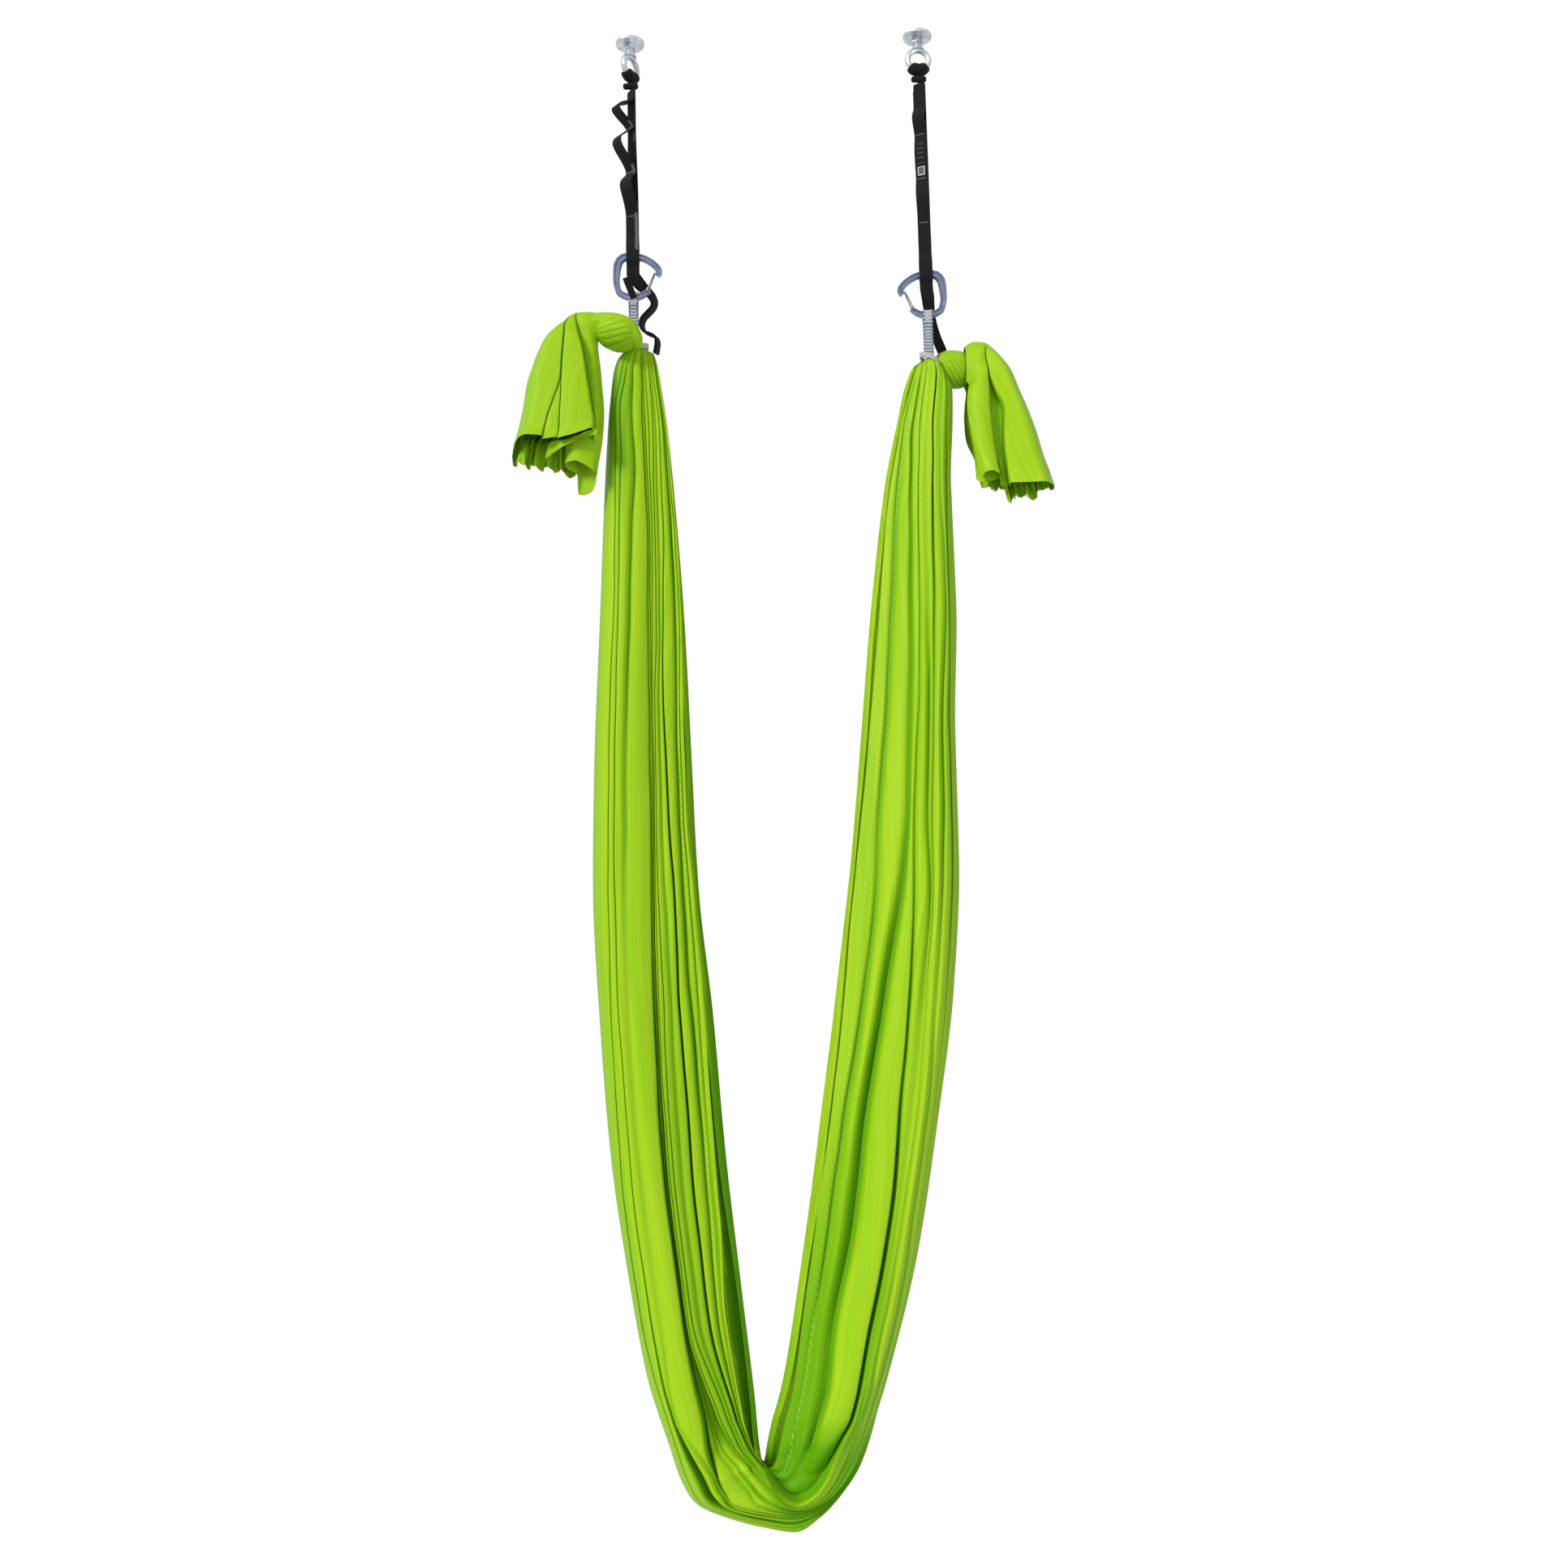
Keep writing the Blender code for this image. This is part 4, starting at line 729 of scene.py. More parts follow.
@dataclass
class Section:
    """Cross-sections of a doubled, folded cloth, built column by column over all its rows."""

    outer: Array
    inner: Array
    front: Array
    back: Array
    front_open: Array | float = 0.45
    back_open: Array | float = 0.30
    rise: Array | float = 0.22
    power: Array | float = 0.7
    # How much of the depth the rounding of the outer edge takes, and the share it takes it over
    keel: Array | float = 0.0
    keel_share: float = 0.03
    # Share over which the front layer turns back at the inner edge, and how far it turns
    close: float = 0.0
    close_turn: float = 1.0
    # Least height of a band and of a fold's floor, and the fold depth that takes the full painted
    # shade
    least_height: float = 0.0008
    least_floor: float = 0.0015
    shade_depth: float = 0.016
    shares: list[Array] = field(default_factory=list)
    depths: list[Array] = field(default_factory=list)
    crease_shades: list[Array] = field(default_factory=list)

    def level(self, share: Array, face: Face) -> Array:
        """Height of a layer before its folds, at shares from the outer to the inner edge."""
        is_front = face is Face.FRONT
        opening = self.front_open if is_front else self.back_open
        reach = self.front if is_front else self.back
        rise = np.sin(np.clip(share / self.rise, 0, 1) * math.pi / 2) ** self.power
        rise = rise + (1 - rise) * self.keel * np.sqrt(np.clip(share / self.keel_share, 0, 1))
        if self.close:
            turn = 1 - np.sin(np.clip((1 - share) / self.close, 0, 1) * math.pi / 2) ** 0.7
            rise = rise * (1 - self.close_turn * turn)
        slope = 1 - (1 - opening) * ease((share - 0.30) / 0.70)
        return reach * rise * slope

    def sunk(self, share: Array, sink: Array, face: Face) -> Array:
        """Height of a layer with its sink, kept on its own side of the cloth's middle."""
        return np.maximum(self.level(share, face) - sink, self.least_height)

    def add(self, share: Array, height: Array, crease_shade: Array, face: Face) -> None:
        """Add one column."""
        self.shares.append(share)
        self.depths.append(face.value * height)
        self.crease_shades.append(crease_shade)

    def band(self, start: Array, stop: Array, sink: Array, bulge: float, face: Face,
             steps: Sequence[float], crest: Array | float = 0.009) -> None:
        """Add the columns of the smooth band between two folds.

        Args:
            start: Share where the band starts.
            stop: Share where it ends.
            sink: How far the band lies behind its layer.
            bulge: Height of the band's crown as a share of its width.
            face: The layer.
            steps: Shares of the band at which columns are made.
            crest: Greatest height of the crown.
        """
        width = np.abs(stop - start) * np.linalg.norm(self.inner - self.outer, axis=1)
        crown = np.minimum(width * bulge, crest)
        for step in steps:
            share = start + (stop - start) * step
            arch = 1 - (2 * step - 1) ** 2
            height = self.sunk(share, sink, face) + crown * arch
            self.add(share, height, np.zeros_like(share), face)

    def groove(self, before: Array, after: Array, floor: Array, sink_before: Array,
               sink_after: Array, depth: Array, face: Face) -> None:
        """Add the lips, walls and floor of one fold between two bands.

        Args:
            before: Share of the lip on the first band.
            after: Share of the lip on the second band.
            floor: Share of the fold's floor.
            sink_before: How far the first band lies behind its layer.
            sink_after: How far the second band lies behind its layer.
            depth: Depth of the fold behind the deeper lip.
            face: The layer.
        """
        lips = [self.sunk(before, sink_before, face), self.sunk(after, sink_after, face)]
        low = np.minimum(*lips)
        base = np.minimum(np.maximum(low - depth, self.least_floor), low)
        # Painted shade on the fold's floor and walls, darker the deeper the fold
        shades = [np.clip((lip - base) / self.shade_depth, 0, 1) for lip in lips]
        walls = [(share + (floor - share) * 0.55, lip + (base - lip) * 0.45, shade * 0.6)
                 for share, lip, shade in zip((before, after), lips, shades)]
        flat = np.zeros_like(before)
        for column in ((before, lips[0], flat), walls[0], (floor, base, np.maximum(*shades)),
                       walls[1], (after, lips[1], flat)):
            self.add(*column, face)

    def points(self) -> tuple[Array, Array]:
        """Places and painted fold shade of the whole grid."""
        share = np.stack(self.shares, axis=1)[:, :, None]
        points = self.outer[:, None, :] * (1 - share) + self.inner[:, None, :] * share
        points[:, :, 1] += np.stack(self.depths, axis=1)
        return points, np.stack(self.crease_shades, axis=1)


BAND_STEPS = (0.06, 0.28, 0.5, 0.72, 0.94)
NARROW_STEPS = (0.15, 0.5, 0.85)


def cloth_uv(points: Array, along: Array, start: int = 0) -> Array:
    """Pattern places of a cloth: its own width across and its length along, in metres.

    Args:
        points: The grid of the cloth.
        along: Length along the cloth of each row.
        start: Column from which the width is measured in every row.

    Returns:
        Pattern place of each point.
    """
    steps = np.linalg.norm(np.diff(points, axis=1), axis=2)
    across = np.concatenate([np.zeros((len(points), 1)), np.cumsum(steps, axis=1)], axis=1)
    uv = np.zeros(points.shape[:2] + (2,))
    uv[:, :, 0] = across - across[:, start:start + 1]
    uv[:, :, 1] = along[:, None]
    return uv


def selvedge_distance(points: Array) -> Array:
    """Distance along the cloth from each point to the nearer selvedge."""
    steps = np.linalg.norm(np.diff(points, axis=1), axis=2)
    start = np.concatenate([np.zeros((len(points), 1)), np.cumsum(steps, axis=1)], axis=1)
    return np.minimum(start, start[:, -1:] - start)


@dataclass
class SilkLoop:
    """The long loop of silk: two folded legs and the seat between them, in one cloth."""

    finish: Dress
    left_edges: Table = (
        (0, -1.035, -.890), (.007, -1.098, -.861), (.012, -1.118, -.849),
        (.022, -1.141, -.833), (.036, -1.156, -.818), (.073, -1.182, -.783),
        (.132, -1.210, -.746),
        (.270, -1.258, -.683), (.390, -1.300, -.654), (.508, -1.317, -.621),
        (.623, -1.280, -.538), (.737, -1.220, -.480), (.848, -1.108, -.404),
        (.930, -1.000, -.342))
    right_edges: Table = (
        (0, 1.055, .930), (.008, 1.086, .884), (.021, 1.130, .842),
        (.032, 1.150, .815), (.054, 1.146, .779), (.124, 1.117, .667),
        (.235, 1.121, .554), (.357, 1.083, .458), (.478, 1.075, .363),
        (.596, 1.008, .242), (.712, .875, .113), (.825, .721, -.017),
        (.934, .500, -.163))
    # Outer and inner ends of the seat's fan of rows: across, up
    seat_rows: Table = (
        (-.2260, -2.1981, -.0774, -2.2015), (-.2097, -2.2451, -.0736, -2.2483),
        (-.1934, -2.2943, -.0710, -2.2681), (-.1698, -2.3307, -.0705, -2.2716),
        (-.1255, -2.3513, -.0699, -2.2728), (-.0714, -2.3664, -.0693, -2.2740),
        (-.0233, -2.3744, -.0687, -2.2734), (.0159, -2.3534, -.0681, -2.2729),
        (.0508, -2.3185, -.0680, -2.2705), (.0761, -2.2820, -.0667, -2.2636),
        (.0931, -2.2406, -.0638, -2.2462), (.1040, -2.2058, -.0531, -2.2021))
    stations: tuple[float, ...] = (.01, .03, .06, .11, .17, .25, .34, .43, .52, .61,
                                   .70, .79, .88)
    # Places of the folds down the left leg: three fine ones, the deep one, then the inner ones
    left_guides: Table = (
        (.246, .210, .128, .166, .192, .198, .189, .180, .173, .138, .117, .083, .070),
        (.333, .294, .217, .248, .255, .253, .244, .236, .239, .204, .196, .178, .172),
        (.441, .439, .413, .442, .402, .373, .356, .339, .330, .294, .273, .262, .259),
        (.636, .641, .621, .617, .624, .602, .603, .599, .571, .517, .485, .467, .464),
        (.787, .790, .779, .742, .713, .678, .649, .641, .627, .582, .556, .543, .529),
        (.873, .869, .866, .838, .815, .762, .736, .746, .766, .717, .706, .684, .675),
        (.940, .938, .939, .930, .924, .910, .873, .856, .861, .820, .819, .799, .770),
        (.990, .988, .986, .983, .985, .970, .941, .924, .953, .929, .906, .896, .835))
    right_guides: Table = (
        (.050, .107, .113, .080, .095, .100, .076, .066, .072, .077, .052, .045, .028),
        (.100, .207, .223, .184, .164, .156, .165, .162, .180, .167, .117, .116, .094),
        (.250, .357, .376, .305, .290, .265, .239, .259, .246, .228, .192, .194, .174),
        (.385, .468, .474, .412, .387, .356, .308, .322, .277, .279, .246, .246, .239),
        (.536, .578, .580, .512, .473, .439, .395, .422, .404, .375, .339, .294, .297),
        (.687, .704, .710, .624, .577, .543, .510, .494, .554, .618, .646, .629, .653),
        (.788, .796, .835, .791, .762, .741, .720, .748, .735, .744, .776, .785, .784),
        (.863, .864, .921, .900, .904, .898, .911, .929, .947, .921, .910, .911, .908))
    # Places of the folds across the seat's rows, from the outer edge to the front selvedge
    seat_guides: Table = (
        (.120, .180, .220, .470, .500, .530, .590, .640, .700, .745, .787, .820, .840, .860),
        (.120, .220, .330, .450, .530, .600, .710, .755, .800, .845, .885, .910, .920, .925),
        (.120, .280, .440, .460, .650, .745, .858, .885, .910, .940, .970, .985, .990, .995),
        (.100, .250, .420, .450, .660, .756, .866, .900, .930, .960, .985, .990, .993, .996),
        (.080, .180, .300, .340, .600, .700, .850, .885, .920, .950, .980, .985, .990, .995),
        (.080, .170, .280, .330, .415, .570, .800, .850, .900, .945, .985, .989, .992, .995),
        (.070, .150, .250, .310, .360, .450, .690, .760, .840, .910, .980, .985, .989, .993),
        (.030, .060, .100, .130, .150, .180, .240, .275, .310, .345, .375, .600, .800, .900),
        (.020, .035, .045, .055, .060, .070, .085, .130, .190, .250, .300, .580, .700, .880),
        (.010, .020, .030, .035, .040, .045, .055, .120, .190, .250, .317, .590, .720, .870),
        (.010, .020, .025, .030, .035, .040, .050, .110, .180, .240, .297, .586, .700, .863),
        (.007, .012, .017, .021, .024, .027, .030, .090, .150, .200, .240, .580, .744, .863))
    back_guides: tuple[float, ...] = (.05, .12, .17, .30, .36, .50, .545, .67, .76,
                                      .82, .93)
    # Key row, depth and mouth in millimetres along each of the fourteen front folds
    folds: tuple[Table, ...] = (
        ((0, 3, 1.5), (2, 3, 2), (11, 3, 2), (14, 2, 3), (20, 1, 3), (23, 0, 2),
         (37, 0, 2)),
        ((0, 3, 1.5), (2, 4, 2), (11, 4, 2), (13, 7, 6), (14.5, 26, 18), (16, 30, 22),
         (18, 9, 16), (24, .2, 2), (37, .2, 2)),
        ((0, 5, 6), (2, 8, 10), (6, 7, 12), (10, 3, 10), (13, 3, 8), (15, 9, 14),
         (17, 12, 14), (19, 3, 8), (24, .2, 2), (37, .2, 2)),
        ((0, 4, 4), (6, 5, 4), (9, 10, 4), (11, 22, 5), (13, 34, 6), (14.5, 14, 10),
         (17, 3, 8), (24, .2, 2), (37, .2, 2)),
        ((0, 1, 1), (13, 2, 2), (15, 3, 8), (18, 4, 8), (20, 2, 5), (23, 0, 2),
         (37, 0, 2)),
        ((0, 1, 1), (13, 2, 2), (15, 3, 8), (18, 7, 8), (20, 2, 5), (23, 0, 2),
         (37, 0, 2)),
        ((0, 4, 4), (6, 5, 4), (9, 10, 4), (11, 22, 5), (13, 34, 6), (15, 14, 10),
         (18, 8, 8), (21, 3, 6), (23, .1, 8), (27, .1, 8), (30, 4, 12), (37, 3, 8)),
        ((0, 3, 1.5), (2, 4, 2), (10, 4, 2), (13, 3, 3), (18, 3, 4), (23, .1, 8),
         (27, .2, 12), (30, 7, 12), (32, 5, 10), (34, 1, 6), (37, .5, 4)),
        ((0, 3, 1.5), (2, 6, 1.6), (10, 6, 1.6), (13, 5, 3), (18, 4, 6), (22, .2, 8),
         (27, .5, 12), (30, 5, 12), (33, 9, 6), (34, 20, 3), (36, 18, 3), (37, 8, 3)),
        ((0, 2, 10), (6, 3, 10), (12, 3, 10), (18, 3, 6), (22, .3, 14), (26, .6, 14),
         (29, 8, 12), (31, 8, 12), (33, 2, 8), (35, .4, 4), (37, .4, 2)),
        ((0, 4, 1), (5, 8, 2), (7, 26, 4), (10, 28, 5), (13, 22, 6), (17, 30, 6),
         (20, 34, 6), (24, 32, 9), (26, 28, 9), (27.5, 12, 8), (30, 5, 10), (34, 3, 2),
         (37, 2, 2)),
        ((0, 6, 6), (5, 9, 12), (9, 10, 14), (13, 8, 12), (17, 10, 8), (20, 22, 6),
         (23, 26, 20), (26.5, 22, 32), (28.8, 12, 24), (31, 7, 14), (35, 5, 6),
         (37, 3, 4)),
        ((0, 4, 1.5), (6, 5, 1.6), (13, 3, 8), (20, 14, 6), (25, 6, 16), (33, 4, 16),
         (37, .8, 8)),
        ((0, 0, 1), (37, 0, 1)))
    neck_radius: float = .0126
    far_below: float = 9.0
    depth_growth: Table = (
        (0.0, .0150), (.03, .021), (.12, .031), (.30, .042), (.60, .048), (1.0, .046))
    leg_rows: int = 130
    seat_row_count: int = 90
    flat: Pair = (1.15, 3.75)
    front_columns: int = 0

    def key_guides(self) -> Array:
        """Places of all fourteen front folds at each key row, from neck to neck."""
        rows = []
        left = np.array(self.left_guides).T
        for fine, second, third, deep, middle, lip, late, edge in left:
            rows.append([fine, second, third, deep - 0.012, deep - 0.004, deep + 0.004,
                         deep + 0.012, (deep + middle) / 2, middle, (middle + lip) / 2, lip,
                         late, (late + edge) / 2, edge])
        rows += [list(row) for row in self.seat_guides]
        for first, *others in np.array(self.right_guides).T[::-1]:
            fine = [first * number / 7 for number in range(1, 7)]
            rows.append(fine + [first] + others)
        return np.array(rows)

    def rows(self) -> tuple[Array, Array, Array, Array, Array]:
        """Edges, key places, depths and lengths along the cloth of every row."""
        left_drop = -CROTCH_LEVEL - LEFT.neck_drop
        right_drop = -CROTCH_LEVEL - RIGHT.neck_drop
        crowd = np.linspace(0, 1, self.leg_rows) ** 1.35
        left_share = crowd * SEAT_START_SHARE
        right_share = crowd[::-1] * SEAT_END_SHARE
        left = self.leg_edges(self.left_edges, left_share, LEFT, left_drop)
        right = self.leg_edges(self.right_edges, right_share, RIGHT, right_drop)
        seat = np.array(self.seat_rows)
        keys = np.arange(len(seat), dtype=float)
        places = np.linspace(0, len(seat) - 1, self.seat_row_count + 2)[1:-1]
        fan = smooth_columns(keys, seat, places)
        flat = np.zeros(len(fan))
        outer, inner = [np.vstack([left[edge], np.stack([
            fan[:, 2 * edge], flat, fan[:, 2 * edge + 1]], axis=1), right[edge]])
            for edge in (0, 1)]
        count = len(self.stations)
        left_key = np.interp(left_share, (0,) + self.stations + (SEAT_START_SHARE,),
                             (0, *range(count), count))
        last = count * 2 + len(seat) - 1
        right_key = np.interp(right_share, (0,) + self.stations + (SEAT_END_SHARE,),
                              (last, *range(last, last - count - 1, -1)))
        key = np.concatenate([left_key, places + count, right_key])
        share = np.concatenate([left_share, np.ones(len(places)), right_share])
        depth = np.interp(share, *zip(*self.depth_growth))
        middle = outer * 0.6 + inner * 0.4
        along = np.concatenate([[0.0], np.cumsum(np.linalg.norm(np.diff(middle, axis=0), axis=1))])
        drop = np.concatenate([left_share * left_drop,
                               np.full(len(places), self.far_below), right_share * right_drop])
        return outer, inner, key, np.stack([depth, drop], axis=1), along

    @staticmethod
    def leg_edges(table: Sequence, share: Array, side: SideSizes, drop: float
                  ) -> tuple[Array, Array]:
        """Outer and inner edge points of one leg at drop shares."""
        table = np.array(table)
        edges = smooth_columns(table[:, 0], table[:, 1:] * HALF_SPACING, share)
        if share.max() > table[-1, 0]:
            seat = SilkLoop.seat_rows[0] if side is LEFT else SilkLoop.seat_rows[-1]
            keys = np.append(table[:, 0], share.max())
            values = np.vstack([table[:, 1:] * HALF_SPACING, [seat[0], seat[2]]])
            edges = smooth_columns(keys, values, share)
        level = -side.neck_drop - share * drop
        outer, inner = [np.stack([edges[:, edge], np.zeros_like(level), level], axis=1)
                        for edge in (0, 1)]
        return outer, inner

    def build(self) -> Piece:
        """Make the cloth and give it its finish."""
        outer, inner, key, sizes, along = self.rows()
        depth, drop = sizes[:, 0], sizes[:, 1]
        table = self.key_guides()
        guides = smooth_columns(np.arange(len(table)), table, key)
        count = guides.shape[1]
        width = np.linalg.norm(inner - outer, axis=1)
        for number in range(count):
            guides[:, number] += 0.0011 * waves(along, 40 + number, 0.55) / width
        guides = np.maximum.accumulate(guides + np.arange(count) * 0.0002, axis=1)
        guides = np.clip(guides, 0.004, 0.998)
        fade = ease(drop / 0.05) * 0.75 + 0.25
        rise = np.interp(key, (0, 14, 17, 20, 22, 24.5), (.22, .22, .45, .80, .65, .20))
        power = np.interp(key, (13, 16, 19, 22, 24.5), (.7, 1.0, 1.5, 1.5, .7))
        front_open = np.interp(key, (12, 18, 24, 37), (.45, .45, .06, .06))
        back_open = np.interp(key, (12, 18, 24, 37), (.30, .30, .05, .05))
        keel = np.interp(key, (13, 16, 22, 24.5), (0, .075, .075, 0))
        section = Section(outer, inner, depth, depth * 0.85, front_open, back_open, rise, power,
                          keel)
        tables = [smooth_columns([row[0] for row in rows], [row[1:] for row in rows], key) * 0.001
                  for rows in self.folds]
        fold_depth = np.stack([table[:, 0] for table in tables], axis=1) * fade[:, None]
        mouth = np.stack([table[:, 1] for table in tables], axis=1)
        for number in range(count):
            fold_depth[:, number] *= 1 + 0.18 * waves(along, 90 + number, 0.8)
        self.add_front(section, guides, fold_depth, mouth, key, width)
        self.front_columns = len(section.shares)
        self.add_back(section, along, fade, width)
        points, crease_shade = section.points()
        # Painted shade from the folds, topped up with more painted shade in hollows, under the
        # seat and behind the hems
        crease_shade = np.maximum(crease_shade, self.paint_shade(section, guides, key))
        points = self.round_necks(points, section, drop)
        uv = cloth_uv(points, along, self.front_columns)
        edge = selvedge_distance(points)
        piece = grid_mesh("silk_loop", points, uv, {"crease_shade": crease_shade, "edge": edge})
        self.finish.put(piece, "silk_leg_left", "silk_seat", "silk_leg_right")
        return piece

    def paint_shade(self, section: Section, guides: Array, key: Array) -> Array:
        """Painted shade: deeper colour on the middle strip, under the seat, in hollows, beside the
        slit, on the turned edge and behind the hems.
        """
        share = np.stack(section.shares, axis=1)
        start, middle, lip, late, edge = [guides[:, number:number + 1]
                                          for number in (6, 8, 10, 11, 13)]
        # Painted shade for each part of the front: its strength along the key rows, and where it
        # lies
        parts = {
            "strip": ((7, 10, 13, 18, 21), (0, .35, .50, .45, 0),
                      ease((share - start) / 0.03) * ease((lip - share) / 0.03)),
            "under": ((17, 19.5, 22, 25), (0, .7, .8, 0), ease((0.85 * lip - share) / 0.10)),
            "pocket": ((20, 22.5, 25, 28), (0, .8, .65, 0), ease((share - late) / 0.04)),
            "floor": ((19, 19.3, 22.5, 24.5), (0, .95, .95, 0), ease((share - lip) / 0.04)),
            "slit": ((21, 23, 25, 27.5), (0, .55, .55, 0),
                     ease((share - lip + 0.14) / 0.07) * (share < lip)),
            # Painted shadow of the left tail on the top of the left leg
            "tail_shadow": ((0, 1, 3, 4.5), (.3, .55, .55, 0), ease((0.46 - share) / 0.16)),
            # Painted shade on the outer part of the right leg's upper half
            "turned": ((27, 30, 33, 37), (0, .15, .32, .36), ease((middle - share) / 0.05)),
        }
        front = np.max([np.interp(key, keys, values)[:, None] * place
                        for keys, values, place in parts.values()], axis=0)
        # Painted shade on the back layer's inner hem, behind the front layer's selvedge
        hem = np.interp(key, (2, 9, 13, 22, 25, 28), (.1, .7, .9, .8, .3, 0))[:, None]
        back = hem * ease((share - edge) / 0.004)
        return np.where(np.arange(share.shape[1]) < self.front_columns, front, back)

    def add_front(self, section: Section, guides: Array, fold_depth: Array, mouth: Array,
                  key: Array, width: Array) -> None:
        """Add the front layer, from its selvedge at the inner edge to the outer edge."""
        count = guides.shape[1]
        hidden = np.interp(key, (0, 6, 9, 11, 13, 15.2), (.001, .002, .008, .020, .034, 0))
        hollow = np.interp(key, (0, 13, 16, 18, 21, 23, 26), (0, 0, .006, .016, .034, .014, 0))
        proud = np.interp(key, (0, 13, 17, 20, 22, 25), (0, 0, -.010, -.016, -.012, 0))
        sinks = [np.zeros_like(key)] * 5 + [hidden] * 3 + [proud] * 4 + [hollow] * 3
        gap = mouth / width[:, None] / 2
        edges = [np.zeros_like(key)] + [guides[:, number] for number in range(count)]
        for band in range(count, 0, -1):
            low = edges[band - 1]
            high = edges[band]
            low_gap = gap[:, band - 2] if band > 1 else np.zeros_like(key)
            high_gap = gap[:, band - 1] if band < count else np.zeros_like(key)
            room = (high - low) * 0.45
            start = high - np.minimum(high_gap, room)
            stop = low + np.minimum(low_gap, room)
            deeper = np.maximum(fold_depth[:, max(band - 2, 0)], fold_depth[:, band - 1])
            crest = np.minimum(0.009, deeper * 0.45)
            section.band(start, stop, sinks[band], 0.11, Face.FRONT, BAND_STEPS, crest)
            if band > 1:
                below = low - np.minimum(gap[:, band - 2], (low - edges[band - 2]) * 0.45)
                lean = 0.35 * (below - stop) * np.sin(3.1 * band)
                section.groove(stop, below, low + lean, sinks[band], sinks[band - 1],
                               fold_depth[:, band - 2], Face.FRONT)

    def add_back(self, section: Section, along: Array, fade: Array, width: Array) -> None:
        """Add the back layer, from the outer edge to its selvedge at the inner edge."""
        count = len(self.back_guides)
        guides = [np.zeros_like(along)]
        for number, place in enumerate(self.back_guides):
            guides.append(place + 0.026 * waves(along, 140 + number, 1.3))
        guides.append(np.ones_like(along))
        flat = np.zeros_like(along)
        for band in range(1, count + 2):
            before = self.back_mouth(band - 1, along) / width / 2
            half = self.back_mouth(band, along) / width / 2
            start = guides[band - 1] + (before if band > 1 else 0)
            stop = guides[band] - (half if band <= count else 0)
            section.band(start, stop, flat, 0.10 + 0.05 * math.sin(2.3 * band), Face.BACK,
                         NARROW_STEPS)
            if band <= count:
                deep = (0.033 + 0.008 * waves(along, 170 + band, 1.1)) * fade
                after = guides[band] + half
                section.groove(stop, after, guides[band], flat, flat, deep, Face.BACK)

    @staticmethod
    def back_mouth(number: int, along: Array) -> Array:
        """Width of the mouth of one fold of the back layer, pinched in places."""
        return 0.0012 + 0.0085 * (0.5 + 0.5 * waves(along, 210 + number, 0.9)) ** 2

    def round_necks(self, points: Array, section: Section, drop: Array) -> Array:
        """Draw the top rows of both legs into the round necks."""
        share = np.stack(section.shares, axis=1)
        depth = np.stack(section.depths, axis=1)
        # The first band of the back is drawn in with the front
        front = self.front_columns + len(NARROW_STEPS)
        face = np.where(np.arange(share.shape[1]) < front, -1, 1)
        half = len(points) // 2
        for side, rows in ((LEFT, slice(0, half)), (RIGHT, slice(half, None))):
            weight = 1 - ease(drop[rows] / 0.011)
            centre = side.neck_centre()
            full = section.front[rows][:, None]
            radial = np.clip(np.abs(depth[rows]) / np.maximum(full, 1e-6), 0.25, 1.05)
            turn = math.pi * share[rows]
            base = np.sin(turn)
            swell = np.where(base > 0.2, radial ** 0.35, 1.0)
            radius = self.neck_radius * swell
            ring = np.stack([centre.x + side.sign * radius * np.cos(turn),
                             radius * base * face[None, :], points[rows][:, :, 2]], axis=2)
            blend = weight[:, None, None]
            points[rows] = points[rows] * (1 - blend) + ring * blend
        return points


